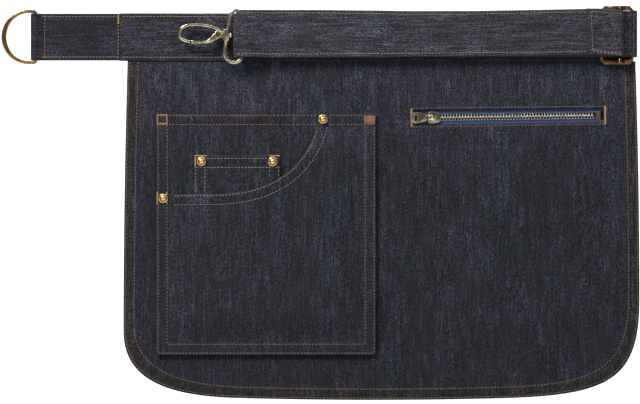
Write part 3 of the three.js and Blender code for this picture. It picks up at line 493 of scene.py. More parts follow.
def strapStrip(name, path, look, materials):
    # a flat strap whose middle follows path in x and y, and whose height runs from low to high in z
    line = resample(path, look["step"], closed=False)
    run = np.gradient(line, axis=0)
    run /= np.linalg.norm(run, axis=1, keepdims=True)
    normal = np.column_stack([run[:, 1], -run[:, 0]])
    lengths = np.concatenate([[0], np.cumsum(np.linalg.norm(np.diff(line, axis=0), axis=1))])
    total = lengths[-1]
    edges = np.array([0, 0.25, 0.7, 1.4, 2.2, 2.9, 3.8, 5.5])
    height = look["height"]
    count = max(4, int((height - 11) / 3.2))
    rows = np.concatenate([edges, np.linspace(5.5, height - 5.5, count + 1)[1:-1], height - edges[::-1]])
    share = rows / height
    s = np.repeat(lengths[:, None], len(rows), axis=1)
    x = np.repeat(line[:, :1], len(rows), axis=1)
    y = np.repeat(line[:, 1:], len(rows), axis=1)
    low, high = look["low"](x, s), look["high"](x, s)
    z = low + (high - low) * share[None, :]
    fromEdge = np.minimum(rows, height - rows)[None, :] * np.ones_like(x)
    fromEnd = np.minimum(s, total - s)
    rim = np.minimum(fromEdge / look["round"], (fromEnd + 0.02) / look["round"])
    roundness = np.sqrt(np.clip(1 - (1 - np.clip(rim, 0, 1)) ** 2, 0.03, 1))
    groove = look["groove"] * np.exp(-((fromEdge - look["seam"]) / 0.5) ** 2)
    ropes = look["ropes"] * np.sin((s + 1.4 * rows[None,
        :]) * 0.9) * np.exp(-((fromEdge - look["seam"] * 0.6) / 1.2) ** 2)
    half = look["thickness"] / 2 * roundness - groove + ropes
    sway = look["sway"] * ripple(s, z, (38, 22), look["seed"]) * smoothStep(fromEdge / 6)
    nx, ny = normal[:, :1], normal[:, 1:]
    shift = look.get("slant", lambda s, share: 0 * s)(s, share[None, :])
    sides = [np.stack([x + nx * (sign * half + sway) + shift, y + ny * (sign * half + sway), z],
        axis=-1) for sign in (1, -1)]
    rowsCount, stations = len(rows), len(line)
    points = np.concatenate([side.reshape(-1, 3) for side in sides])
    offset = stations * rowsCount
    faces = []
    for i in range(stations - 1):
        for j in range(rowsCount - 1):
            a, b = i * rowsCount + j, (i + 1) * rowsCount + j
            faces.append((a, b, b + 1, a + 1))
            faces.append((a + offset, a + 1 + offset, b + 1 + offset, b + offset))
    for i in range(stations - 1):
        a, b = i * rowsCount, (i + 1) * rowsCount
        faces.append((a, a + offset, b + offset, b))
        a, b = a + rowsCount - 1, b + rowsCount - 1
        faces.append((a, b, b + offset, a + offset))
    for j in range(rowsCount - 1):
        a = j
        faces.append((a, a + 1, a + 1 + offset, a + offset))
        a = (stations - 1) * rowsCount + j
        faces.append((a, a + offset, a + 1 + offset, a + 1))
    worn = np.clip(0.75 * np.exp(-((fromEdge - 0.2) / 0.7) ** 2) + 0.25
        * np.exp(-((fromEdge - look["seam"] - 0.9) / 0.8) ** 2), 0, 1)
    wear = np.tile((worn * (0.6 + 0.4 * ripple(s, z, (9, 9), 3.3))).ravel(), 2)
    piece = writeMesh(name, points, faces, materials, wear)
    return piece


stitchSize = {"length": 2.2, "pitch": 2.85, "radius": 0.28, "sides": 7, "rings": 5}


def modelStitch():
    bpy.ops.object.select_all(action="DESELECT")
    bpy.ops.mesh.primitive_uv_sphere_add(segments=stitchSize["sides"], ring_count=stitchSize["rings"],
        radius=1)
    piece = bpy.context.active_object
    bpy.ops.object.mode_set(mode="EDIT")
    bpy.ops.mesh.select_all(action="SELECT")
    bpy.ops.transform.resize(value=(stitchSize["radius"], stitchSize["radius"], stitchSize["length"] / 2))
    bpy.ops.object.mode_set(mode="OBJECT")
    points = np.array([v.co[:] for v in piece.data.vertices])
    points[:, 2] = np.sign(points[:, 2]) * np.abs(points[:,
        2] * 2 / stitchSize["length"]) ** 0.8 * stitchSize["length"] / 2
    faces = [list(p.vertices) for p in piece.data.polygons]
    bpy.data.objects.remove(piece, do_unlink=True)
    return points, faces


stitchPoints, stitchFaces = modelStitch()
threadRows = {}  # piece name to its stitches, material and body


def addStitch(group, centre, direction, out, length=None, radius=None):
    threadRows.setdefault(group, []).append((np.array(centre, float), np.array(direction, float),
        np.array(out, float), length or stitchSize["length"], radius or stitchSize["radius"]))


def stitchRow(group, corners, surface, out=(0, -1, 0), pitch=None, jitter=0.06):
    # corners are (x, z); surface(x, z) gives y on the cloth
    pitch = pitch or stitchSize["pitch"]
    corners = [np.array(c, float) for c in corners]
    spans = [np.linalg.norm(b - a) for a, b in zip(corners, corners[1:])]
    total = sum(spans)
    count = max(1, int(total / pitch))
    for i in range(count):
        at = (i + 0.5) * total / count
        for a, b, span in zip(corners, corners[1:], spans):
            if at <= span or b is corners[-1]:
                break
            at -= span
        t = min(at / span, 1)
        x, z = a + (b - a) * t
        run = (b - a) / span
        wobble = jitter * noise.noise(Vector((x * 0.7, z * 0.7, 5.1)))
        tilt = 0.05
        direction = np.array([run[0], 0, run[1]]) + tilt * np.array([-run[1], 0, run[0]])
        x, z = x - run[1] * wobble, z + run[0] * wobble
        y = float(surface(np.array([x]), np.array([z]))[0])
        addStitch(group, (x, y, z), direction, out, length=stitchSize["length"] * pitch / stitchSize["pitch"])


def barTack(group, start, end, width, surface, out=(0, -1, 0), spacing=0.52):
    a, b = np.array(start, float), np.array(end, float)
    span = np.linalg.norm(b - a)
    run = (b - a) / span
    for i in range(int(span / spacing) + 1):
        x, z = a + run * i * spacing
        lean = 0.18 if i % 2 else -0.18
        direction = np.array([-run[1] + lean * run[0], 0, run[0] + lean * run[1]])
        y = float(surface(np.array([x]), np.array([z]))[0])
        addStitch(group, (x, y - 0.1 * (i % 2), z), direction, out, length=width, radius=0.33)


def writeThreads(group, material, body):
    points, faces = [], []
    base = np.array(stitchPoints)
    for centre, direction, out, length, radius in threadRows[group]:
        direction = direction / np.linalg.norm(direction)
        out = out - direction * (out @ direction)
        out /= np.linalg.norm(out)
        side = np.cross(out, direction)
        local = base * [radius / stitchSize["radius"], radius / stitchSize["radius"],
            length / stitchSize["length"]]
        bow = -0.35 * radius * (local[:, 2] / (length / 2)) ** 2  # the ends dive into the cloth
        placed = centre + local[:, :1] * side + (local[:, 1:2] + bow[:, None]) * out + local[:,
            2:] * direction
        first = len(points) * len(base)
        points.append(placed)
        faces += [[first + i for i in face] for face in stitchFaces]
    piece = writeMesh(group, np.concatenate(points), faces, [material])
    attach(piece, body)
    return piece


def declare(piece, body, nodes):
    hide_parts(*nodes)
    if body:
        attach(piece, body)


panelLow, panelHigh = boxMm("apron_panel")
bandLow, bandHigh = boxMm("waistband")
panelLooks = {
    "top": bandLow[2] + 9.5,  # goes up inside the waistband
    "leftEnd": -215.7,  # ends of what goes inside the band
    "rightEnd": 208.4,
    "rightShoulder": -16.4,  # a corner tucked in under the belt's fold
    "shoulderEnd": 211.8,
    "leftCorner": (100, 57),
    "rightCorner": (114, 84),
    "hem": 9.4,
    "zipCentre": (108.0, -67.6),
    "zipTurn": 0.75,
    "window": (81.2, 6.0),  # half length and half height
}


def bezier(a, b, c, d, count):
    t = np.linspace(0, 1, count)[:, None]
    a, b, c, d = (np.array(p, float) for p in (a, b, c, d))
    return a * (1 - t) ** 3 + 3 * b * t * (1 - t) ** 2 + 3 * c * t * t * (1 - t) + d * t ** 3


def panelEdge(inset, top):
    half = panelHigh[0] - inset
    topHalf = half - 3.5
    bottom = panelLow[2] + 1.6 + inset
    run, rise = panelLooks["leftCorner"]
    runRight, riseRight = panelLooks["rightCorner"]
    leftTurn, rightTurn = bottom + rise - inset / 2, bottom + riseRight - inset / 2
    leftFoot, rightFoot = -half + run - inset / 2, half - runRight + inset / 2
    middle = (bandLow[2] + leftTurn) / 2

    def quad(a, b, c, count):
        t = np.linspace(0, 1, count)[:, None]
        a, b, c = (np.array(p, float) for p in (a, b, c))
        return a * (1 - t) ** 2 + 2 * b * t * (1 - t) + c * t * t

    parts = [
        quad((-topHalf, top), (-half, middle), (-half, leftTurn), 30),
        bezier((-half, leftTurn), (-half, bottom + 0.34 * rise), (-half + 0.3 * run, bottom + 0.02 * rise),
            (leftFoot, bottom), 40),
        quad((leftFoot, bottom), ((leftFoot + rightFoot) / 2, bottom - 3.2), (rightFoot, bottom), 30),
        bezier((rightFoot, bottom), (half - 0.21 * runRight, bottom + 0.03 * riseRight),
            (half, bottom + 0.2 * riseRight), (half, rightTurn), 46),
        quad((half, rightTurn), (half, (bandLow[2] + rightTurn) / 2), (topHalf, top), 30),
    ]
    joined = [parts[0][0]]
    for part in parts:
        joined += list(part[1:])
    return joined


def turned(points, centre, degrees):
    angle = math.radians(degrees)
    c, s = math.cos(angle), math.sin(angle)
    return [(centre[0] + x * c - z * s, centre[1] + x * s + z * c) for x, z in points]


def inZip(x, z):
    return turned([(x, z)], panelLooks["zipCentre"], panelLooks["zipTurn"])[0]


sideTop = bandLow[2] - 0.3
visibleEdge = panelEdge(0, sideTop)
shoulder = panelLooks["rightShoulder"]
panelOutline = visibleEdge + [
    (panelLooks["shoulderEnd"], sideTop), (panelLooks["shoulderEnd"], shoulder),
    (panelLooks["rightEnd"], shoulder),
    (panelLooks["rightEnd"], panelLooks["top"]), (panelLooks["leftEnd"], panelLooks["top"]),
]
windowHalf, windowRise = panelLooks["window"]
windowEdge = turned([(-windowHalf, -windowRise), (windowHalf, -windowRise), (windowHalf, windowRise),
    (-windowHalf, windowRise)], panelLooks["zipCentre"], panelLooks["zipTurn"])
hemLine = np.array(visibleEdge)
pocketLow, pocketHigh = boxMm("pocket_facing")


def openDistance(x, z, line):
    points = np.column_stack([x, z])
    best = np.full(len(points), 1e9)
    for a, b in zip(line, line[1:]):
        run = b - a
        t = np.clip(((points - a) @ run) / max(run @ run, 1e-9), 0, 1)
        best = np.minimum(best, np.hypot(*(points - a - t[:, None] * run).T))
    return best


def calmNear(x, z):  # 1 where the cloth may move, 0 at the band, pocket, zip and hem
    nearPocket = np.maximum(np.maximum(pocketLow[0] - x, x - pocketHigh[0]),
        np.maximum(pocketLow[2] - z, z - pocketHigh[2]))
    cx, cz = panelLooks["zipCentre"]
    nearZip = np.maximum(abs(x - cx) - 100, abs(z - cz) - 16)
    return smoothStep(nearPocket / 16) * smoothStep(nearZip / 16) * smoothStep((bandLow[2] - 1 - z) / 14)


def panelWave(x, z):
    folds = 1.9 * ripple(x, z, (36, 130), 1.7) + 1.3 * ripple(x, z, (70, 60), 4.2) + 0.5 * ripple(x, z,
        (15, 26), 8.1)
    return np.clip(folds, -1.3, 2.4) * calmNear(x, z)


def panelFront(x, z, distance=None):
    toHem = openDistance(x, z, hemLine)
    hem = 0.42 * smoothStep((10.3 - toHem) / 1.2)
    seam = 0.16 * np.exp(-((toHem - 9.2) / 0.6) ** 2) + 0.14 * np.exp(-((toHem - 1.6) / 0.6) ** 2)
    rope = 0.22 * np.exp(-((toHem - 5.2) / 2.8) ** 2) * ripple(x + z, x - z, (4.6, 9.5), 2.2)
    local = np.column_stack([x, z]) - panelLooks["zipCentre"]
    toWindow = np.maximum(abs(local[:, 0]) - windowHalf, abs(local[:, 1]) - windowRise)
    lip = 0.4 * np.exp(-((toWindow - 0.9) / 0.9) ** 2) * (toWindow > -2)
    pressed = smoothStep((x - 188) / 8) * smoothStep((z + 36) / 6)  # flat where the belt's slider passes
    return panelLow[1] - (hem - seam + rope) * (1 - pressed) - lip - panelWave(x, z) * smoothStep(toHem / 22)


def panelBack(x, z, distance=None):
    toHem = openDistance(x, z, hemLine)
    wave = panelWave(x, z) * smoothStep(toHem / 22)
    return panelLow[1] + 1.2 + 1.2 * smoothStep((9.8 - toHem) / 0.8) * (z < sideTop - 0.1) - wave


def edgeWear(x, z, distance):
    toHem = openDistance(x, z, hemLine)
    patchy = 0.55 + 0.45 * ripple(x, z, (7, 7), 6.4)
    worn = 0.8 * np.exp(-(toHem / 0.9) ** 2) + 0.3 * np.exp(-((toHem - 10.2) / 0.9) ** 2) + 0.2 * np.exp(
        -((toHem - 2.6) / 1.0) ** 2)
    return np.clip(worn * patchy, 0, 1)


panelSheet = {
    "step": 3.6, "edgeStep": 2.2, "rings": (0.35, 0.9, 1.6, 2.6, 4.6, 6.8, 8.6, 9.3, 10.1, 11.4),
    "round": 0.7,
    "front": panelFront, "back": panelBack, "wear": edgeWear,
}
panel = clothSheet("apronPanel", panelOutline, panelSheet, [panelDenim, hemDenim], holes=[windowEdge])
centres = np.array([(p.center.x / mm, p.center.z / mm) for p in panel.data.polygons])
inHem = (openDistance(centres[:, 0], centres[:, 1], hemLine) < 9.9) & (centres[:, 1] < sideTop)
panel.data.polygons.foreach_set("material_index", inHem.astype(np.int32))
declare(panel, "apron", ["apron_panel"])


def frontOf(x, z):
    return panelFront(x, z) - 0.1


def backOf(x, z):
    return panelBack(x, z) + 0.1


for inset in (1.6, 9.2):
    line = [p for p in panelEdge(inset, sideTop - 0.4)]
    stitchRow("hemStitches", line, frontOf)
    stitchRow("hemStitchesBack", line, backOf, out=(0, 1, 0))
for side in (-1, 1):
    stitchRow("zipStitches", [inZip(-82, side * 7.9), inZip(82, side * 7.7)], frontOf)
    barTack("zipBars", inZip(side * 82.3, -7.6), inZip(side * 82.3, 7.6), 2.0, frontOf, spacing=0.44)
print("panel made:", len(panel.data.polygons), "faces")


def bandProfile():  # y and z round the folded section, anticlockwise seen from the left end
    back, front, low, high = bandHigh[1], bandLow[1], bandLow[2], bandHigh[2]
    arc = [(-1.6 + 1.6 * math.cos(a), high - 1.6 + 1.6 * math.sin(a)) for a in np.linspace(0, math.pi / 2, 7)]
    turn = [(front + 1.6 - 1.6 * math.sin(a), high - 1.6 + 1.6 * math.cos(a)) for a in np.linspace(0,
        math.pi / 2, 7)]
    rows = [(back, z) for z in np.linspace(low + 0.6, high - 3, 12)]
    face = [(front, z) for z in list(np.linspace(high - 2.2, high - 5, 5)) + list(np.linspace(high - 8,
        low + 8, 9)) + list(np.linspace(low + 5, low + 0.7, 7))]
    slot = [(front + 0.6, low), (front + 1.0, low + 0.5), (front + 1.1, low + 11), (back - 1.5, low + 11),
        (back - 1.4, low + 0.5), (back - 0.7, low)]
    return rows + arc + turn + face + slot


def sweepBand(name, profile, left, right, material):
    profile = np.array(profile, float)
    stations = np.concatenate([[left, left + 0.4, left + 1.0], np.arange(left + 3, right - 2, 3.0),
        [right - 1.0, right - 0.4, right]])
    points = []
    centre = profile.mean(axis=0)
    for x in stations:
        end = min(x - left, right - x)
        pull = 0.08 * (1 - min(end / 1.0, 1)) ** 2
        section = profile + (centre - profile) * np.array([pull * 0.5, pull * 0.02])
        xs = np.full(len(section), x)
        isFront = section[:, 0] < bandLow[1] + 0.3
        fromEdge = np.minimum(bandHigh[2] - section[:, 1], section[:, 1] - bandLow[2])
        move = 0.3 * ripple(xs, section[:, 1], (26, 16), 7.7) * smoothStep(fromEdge / 5) * isFront
        seam = 0.16 * np.exp(-((fromEdge - 3.0) / 0.6) ** 2) * isFront
        lift = 0.35 * ripple(xs, xs * 0, (60, 1), 9.2) * (section[:, 1] > bandHigh[2] - 2)
        points.append(np.column_stack([xs, section[:, 0] - move + seam, section[:, 1] + lift]))
    count = len(profile)
    faces = []
    for i in range(len(stations) - 1):
        for j in range(count):
            a, b = i * count + j, i * count + (j + 1) % count
            faces.append((a, b, b + count, a + count))
    last = (len(stations) - 1) * count
    faces += [list(range(count))[::-1], [last + j for j in range(count)]]
    placed = np.concatenate(points)
    fromEdge = np.minimum(bandHigh[2] - placed[:, 2], placed[:, 2] - bandLow[2])
    rubbedAndLit = np.where((placed[:, 2] < 0) & (placed[:, 0] > -130), 0.0, 1.0)  # the strap covers the lower edge, so it is not rubbed there; leaving it unworn also keeps that edge dark as painted shade under the strap
    wear = rubbedAndLit * np.clip(np.exp(-(fromEdge / 0.9) ** 2) * (0.4 + 0.4 * ripple(placed[:, 0], placed[:, 2],
        (8, 8), 1.1)), 0, 1)
    return writeMesh(name, placed, faces, [material], wear)


band = sweepBand("waistbandCloth", bandProfile(), bandLow[0], bandHigh[0], bandDenim)
bpy.context.view_layer.objects.active = band
band.select_set(True)
bpy.ops.object.mode_set(mode="EDIT")
bpy.ops.mesh.select_all(action="SELECT")
bpy.ops.mesh.normals_make_consistent(inside=False)
bpy.ops.object.mode_set(mode="OBJECT")
bpy.ops.object.shade_smooth_by_angle(angle=0.9)
band.select_set(False)
declare(band, "apron", ["waistband"])


def bandFront(x, z):
    return np.full(len(x), bandLow[1] - 0.02)


def bandBack(x, z):
    return np.full(len(x), bandHigh[1] + 0.02)


stitchRow("bandStitches", [(bandLow[0] + 2, 17.3), (bandHigh[0] - 1, 17.3)], bandFront)
stitchRow("bandStitches", [(bandLow[0] + 2, -17.2), (-128, -17.2), (-100, -14.6), (bandHigh[0] - 1, -14.6)],
    bandFront)
for z in (17.3, -17.2):
    stitchRow("bandStitchesBack", [(bandLow[0] + 2, z), (bandHigh[0] - 1, z)], bandBack, out=(0, 1, 0))
print("waistband made")


tabLow, tabHigh = boxMm("d_ring_tab")
tabLooks = {"thickness": 1.85, "loop": 2.9, "barX": tabLow[0] + 3.85, "barY": -3.9, "backY": -2.25,
    "frontY": -4.15}


def tabPath():
    bx, by, r = tabLooks["barX"], tabLooks["barY"], tabLooks["loop"]
    opening = math.radians(70)
    arc = [(bx + r * math.cos(a), by + r * math.sin(a)) for a in np.linspace(opening, 2 * math.pi - opening,
        26)]
    ease = [(bx + 3.4, tabLooks["backY"] + 0.45), (bx + 5.6, tabLooks["backY"] + 0.08)]
    easeFront = [(bx + 3.4, tabLooks["frontY"] - 0.95), (bx + 5.6, tabLooks["frontY"] - 0.25)]
    sewnIn = tabHigh[0] + 0.8  # caught in the end of the waistband
    back = [(sewnIn, tabLooks["backY"]), (bx + 9, tabLooks["backY"])]
    front = [(bx + 9, tabLooks["frontY"]), (sewnIn, tabLooks["frontY"])]
    return back + ease[::-1] + arc + easeFront + front


tab = strapStrip("ringTabCloth", tabPath(), {
    "step": 1.6, "height": 39.8, "thickness": tabLooks["thickness"], "round": 0.7, "groove": 0.12,
    "seam": 2.8, "ropes": 0.05,
    "sway": 0.12, "seed": 3.1, "low": lambda x, s: 0 * x - 19.9, "high": lambda x, s: 0 * x + 19.9,
}, [tabDenim])
declare(tab, "apron", ["d_ring_tab"])


def tabFront(x, z):
    return np.full(len(x), tabLooks["frontY"] - tabLooks["thickness"] / 2 - 0.02)


def tabBack(x, z):
    return np.full(len(x), tabLooks["backY"] + tabLooks["thickness"] / 2 + 0.02)


for z in (17.2, -17.0):
    stitchRow("tabStitches", [(tabLow[0] + 9, z), (tabHigh[0] - 0.5, z)], tabFront)
    stitchRow("tabStitchesBack", [(tabLow[0] + 9, z), (tabHigh[0] - 0.5, z)], tabBack, out=(0, 1, 0))
stitchRow("tabCrossStitches", [(-286.3, 19), (-286.3, -19)], tabFront)
stitchRow("tabEndStitches", [(-223.6, 19.2), (-223.9, -19)], tabFront)
barTack("tabEndBar", (-223.6, 18.6), (-223.6, 11.2), 1.7, tabFront)
print("ring tab made")


returnHigh = boxMm("strap_return_run")[1]
foldLow, foldHigh = boxMm("strap_hook_fold")
sewnLow, sewnHigh = boxMm("strap_sewn_end")
turnLow, turnHigh = boxMm("strap_turn")
runHigh = boxMm("strap_front_run")[1]
beltLooks = {"thickness": 1.55, "low": -17.1, "high": 21.9}
foldRadius = (foldHigh[1] - foldLow[1]) / 2 - beltLooks["thickness"] / 2
foldAt = (foldLow[0] + foldRadius + beltLooks["thickness"] / 2, (foldHigh[1] + foldLow[1]) / 2)
runY = runHigh[1] - 0.8


def beltPath():
    fx, fy = foldAt
    arc = [(fx + foldRadius * math.cos(a), fy + foldRadius * math.sin(a)) for a in np.linspace(math.pi / 2,
        1.5 * math.pi, 18)]
    settle = [(fx + 7, fy - foldRadius + 0.02), (fx + 12, fy - foldRadius + 0.55), (fx + 20, runY - 0.7),
        (fx + 29, runY), (fx + 60, runY)]
    behind = [(returnHigh[0], returnHigh[1] - 0.8), (fx + 40, returnHigh[1] - 0.8),
        (fx + 8, returnHigh[1] - 0.8)]
    return behind + arc + settle + [(runHigh[0] - 0.4, runY)]


def beltLowEdge(x, s):
    front = s > 335
    bow = np.interp(x, [-126, -90, 0, 40, 175, 205], [-17.6, -17.9, -17.6, -17.2, -15.9, -16.4])
    near = np.exp(-((x - foldLow[0]) / 3.2) ** 2)
    return np.where(front, bow, -17.2) + 1.4 * near


def beltHighEdge(x, s):
    front = s > 335
    bow = np.interp(x, [-126, -120, -60, 0, 34, 70, 140, 165, 180, 205],
        [22.0, 22.6, 22.7, 22.1, 21.4, 21.6, 22.9, 23.4, 23.9, 23.3])
    near = np.exp(-((x - foldLow[0]) / 3.2) ** 2)
    return np.where(front, bow, 21.9) - 3.6 * near


belt = strapStrip("beltCloth", beltPath(), {
    "step": 2.4, "height": 39.0, "thickness": beltLooks["thickness"], "round": 0.7, "groove": 0.12,
    "seam": 3.1, "ropes": 0.06,
    "sway": 0.16, "seed": 6.6, "low": beltLowEdge, "high": beltHighEdge,
}, [strapDenim])
declare(belt, "belt", ["strap_return_run", "strap_hook_fold", "strap_front_run"])


def runFront(x, z):
    fx, fy = foldAt
    y = np.interp(x, [fx, fx + 7, fx + 12, fx + 20, fx + 29],
        [fy - foldRadius, fy - foldRadius + 0.02, fy - foldRadius + 0.55, runY - 0.7, runY])
    return y - beltLooks["thickness"] / 2 - 0.03


top = [(x, float(beltHighEdge(np.array([x]), np.array([400.0]))[0]) - 2.7) for x in np.linspace(-120, 174,
    40)]
bottom = [(x, float(beltLowEdge(np.array([x]), np.array([400.0]))[0]) + 3.1) for x in np.linspace(-122, 174,
    40)]
stitchRow("beltStitches", top, runFront)
stitchRow("beltStitches", bottom, runFront)

turnMiddle = ((turnHigh[1] + turnLow[1]) / 2)
turnRadius = (turnHigh[1] - turnLow[1]) / 2 - 0.8
turnAt = turnHigh[0] - turnRadius - 0.8
turnPath = [(turnLow[0], turnMiddle + turnRadius)] + [
    (turnAt + turnRadius * math.cos(a),
        turnMiddle + turnRadius * math.sin(a)) for a in np.linspace(math.pi / 2, -math.pi / 2, 20)
]
turnCloth = strapStrip("beltTurnCloth", turnPath, {
    "step": 0.8, "height": 39.0, "thickness": beltLooks["thickness"], "round": 0.6, "groove": 0.1,
    "seam": 2.9, "ropes": 0.04,
    "sway": 0.1, "seed": 2.6, "low": lambda x, s: 0 * x - 17.3, "high": lambda x, s: 0 * x + 22.3,
}, [strapDenim])
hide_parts("strap_turn")
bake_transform(turnCloth)


def turnFace(x, z):
    return np.full(len(x), turnLow[1] - 0.04)


for z in (18.9, -14.4):
    stitchRow("turnStitches", [(206.6, z), (turnAt + 0.3, z)], turnFace)

sewnLooks = {"thickness": 1.5, "barX": sewnHigh[0] - 3.2, "barY": -13.7, "loop": 2.42}


def sewnPath():
    bx, by, r = sewnLooks["barX"], sewnLooks["barY"], sewnLooks["loop"]
    arc = [(bx + r * math.cos(a), by + r * math.sin(a)) for a in np.linspace(math.pi / 2, -math.pi / 2, 18)]
    lie = runY - 0.8 - 0.3 - 0.75
    return arc + [(bx - 2.6, by - r + 0.02), (bx - 5.6, (by - r + lie) / 2 - 0.1), (bx - 9, lie),
        (sewnLow[0] - 0.3, lie)]


def sewnSlant(s, share):
    far = smoothStep((s - 16) / 18)
    return far * (2.4 * (0.5 - share))


sewn = strapStrip("beltEndCloth", sewnPath(), {
    "step": 1.2, "height": 38.9, "thickness": sewnLooks["thickness"], "round": 0.7, "groove": 0.12,
    "seam": 2.6, "ropes": 0.08,
    "sway": 0.15, "seed": 9.4,
    "low": lambda x, s: np.interp(x, [175, 205], [-15.0, -17.0]), "high": lambda x,
    s: np.interp(x, [175, 205], [24.0, 21.8]),
    "slant": sewnSlant,
}, [strapDenim])
declare(sewn, "belt", ["strap_sewn_end"])


def sewnFront(x, z):
    bx, by, r = sewnLooks["barX"], sewnLooks["barY"], sewnLooks["loop"]
    lie = runY - 0.8 - 0.3 - 0.75
    y = np.interp(x, [bx - 9, bx - 5.6, bx - 2.6, bx], [lie, (by - r + lie) / 2 - 0.1, by - r + 0.02, by - r])
    return y - 0.78


stitchRow("beltEndStitches", [(177.3, 21.6), (178.9, -12.2)], sewnFront)
stitchRow("beltEndStitches", [(177.3, 21.3), (203.6, 19.2)], sewnFront)
stitchRow("beltEndStitches", [(178.7, -11.2), (202.5, -14.6)], sewnFront)
stitchRow("beltEndStitches", [(178.2, -12.4), (203.5, -15.6)], sewnFront)
print("belt made")


facingLow, facingHigh = boxMm("pocket_facing")
coverLow, coverHigh = boxMm("pocket_front_panel")
coinLow, coinHigh = boxMm("coin_pocket")
pocketLooks = {"rim": 11, "ramp": 26, "puff": 4.9, "mouthDrop": 67.8, "mouthReach": 138.5, "mouthLevel": 54,
    "coverFace": -6.9, "coinFace": -6.9}
seamRings = (0.35, 0.9, 1.6, 2.8, 5.2, 7.8, 9.0, 10.0, 11.4)


def seamRise(distance, depth=0.4, width=10.2):
    grooves = 0.14 * np.exp(-((distance - 1.6) / 0.6) ** 2) + 0.16 * np.exp(
        -((distance - width + 1.1) / 0.6) ** 2)
    return depth * smoothStep((width - distance) / 1.0) - grooves


def seamWear(x, z, distance):
    patchy = 0.55 + 0.45 * ripple(x, z, (7, 7), 2.9)
    worn = 0.85 * np.exp(-(distance / 0.9) ** 2) + 0.35 * np.exp(-((distance - 10.4) / 0.9) ** 2)
    return np.clip(worn * patchy, 0, 1)


def facingFront(x, z, distance=None):
    toTop = facingHigh[2] - z
    toLeft = x - facingLow[0]
    distance = np.minimum(toTop, toLeft)
    calm = smoothStep(distance / 14) * smoothStep((z - coverLow[2] - 120) / 20)
    return facingLow[1] - seamRise(distance, 0.3) * (z > coinLow[2] - 20) - 0.1 * ripple(x, z, (24, 30),
        5.5) * calm


facing = clothSheet("pocketFacingCloth",
    [(facingLow[0], facingLow[2]), (facingHigh[0], facingLow[2]), (facingHigh[0], facingHigh[2]),
        (facingLow[0], facingHigh[2])], {
    "step": 4.0, "edgeStep": 2.6, "rings": seamRings, "round": 0.6,
    "front": facingFront, "back": lambda x, z, d: 0 * x + facingHigh[1], "wear": seamWear,
}, [pocketDenim])
declare(facing, "apron", ["pocket_facing"])


def coverOutline():
    left, right, low, high = coverLow[0], coverHigh[0], coverLow[2], coverHigh[2]
    level = high - pocketLooks["mouthDrop"]
    mouthEnd = left + pocketLooks["mouthReach"]
    bendStart = left + pocketLooks["mouthLevel"]
    curve = bezier((mouthEnd, high), (mouthEnd - 7.5, high - 0.66 * pocketLooks["mouthDrop"]),
                   (bendStart + 0.54 * (mouthEnd - bendStart), level + 1.5), (bendStart, level), 60)
    return [(left, low), (right, low),
        (right, high)] + [tuple(p) for p in curve] + [(left, level - 0.7)], curve


coverEdge, mouthCurve = coverOutline()
mouthLine = np.vstack([mouthCurve,
    [[x, mouthCurve[-1][1] - 0.013 * (mouthCurve[-1][0] - x)] for x in np.arange(mouthCurve[-1][0] - 3,
        coverLow[0], -3.0)]])


def puffAt(x, z):
    def ramp(distance):
        return smoothStep((distance - pocketLooks["rim"]) / pocketLooks["ramp"])
    sides = ramp(x - coverLow[0]) * ramp(coverHigh[0] - x)
    return pocketLooks["puff"] * sides * ramp(z - coverLow[2]) * ramp(coverHigh[2] - z)


def coverFront(x, z, distance=None):
    if distance is None:
        distance = edgeDistance(np.column_stack([x, z]), [np.array(coverEdge, float)])
    calm = smoothStep((distance - 8) / 18)
    folds = 0.55 * ripple(x, z, (40, 55), 3.4) + 0.3 * ripple(x, z, (18, 30), 7.2)
    rope = 0.12 * np.exp(-((distance - 5.2) / 2.8) ** 2) * ripple(x + z, x - z, (4.6, 9.5), 5.9)
    return pocketLooks["coverFace"] - 0.86 * puffAt(x, z) - seamRise(distance) - folds * calm - rope


cover = clothSheet("pocketFrontCloth", coverEdge, {
    "step": 3.4, "edgeStep": 2.2, "rings": seamRings, "round": 0.7,
    "front": coverFront, "back": lambda x, z, d: coverFront(x, z, d) + 1.2 + seamRise(d) * 0.8,
    "wear": seamWear,
}, [pocketDenim])
declare(cover, "apron", ["pocket_front_panel"])


def coinFront(x, z, d=None):
    return coinLow[1] - seamRise(np.minimum(np.minimum(coinHigh[2] - z, x - coinLow[0]), coinHigh[0] - x),
        0.22, 9.6)


coin = clothSheet("coinPocketCloth",
    [(coinLow[0], coinLow[2]), (coinHigh[0], coinLow[2]), (coinHigh[0], coinHigh[2]),
        (coinLow[0], coinHigh[2])], {
    "step": 3.4, "edgeStep": 2.4, "rings": seamRings[:-1], "round": 0.6,
    "front": coinFront, "back": lambda x, z, d: 0 * x + coinHigh[1], "wear": seamWear,
}, [pocketDenim])
declare(coin, "apron", ["coin_pocket"])


def onCover(x, z):
    return coverFront(x, z) - 0.08


def onFacing(x, z):
    return facingFront(x, z) - 0.08


def onCoin(x, z):
    return coinFront(x, z) - 0.08


left, right, low, high = coverLow[0], coverHigh[0], coverLow[2], coverHigh[2]
mouthZ = high - pocketLooks["mouthDrop"]


def alongMouth(inset):
    shifted = []
    for i in range(0, len(mouthLine), 2):
        a, b = mouthLine[max(i - 1, 0)], mouthLine[min(i + 1, len(mouthLine) - 1)]
        run = (b - a) / np.linalg.norm(b - a)
        shifted.append(mouthLine[i] + np.array([-run[1], run[0]]) * inset)
    return [p for p in shifted if p[0] > left + 9.5 and p[1] < high - 9.4]


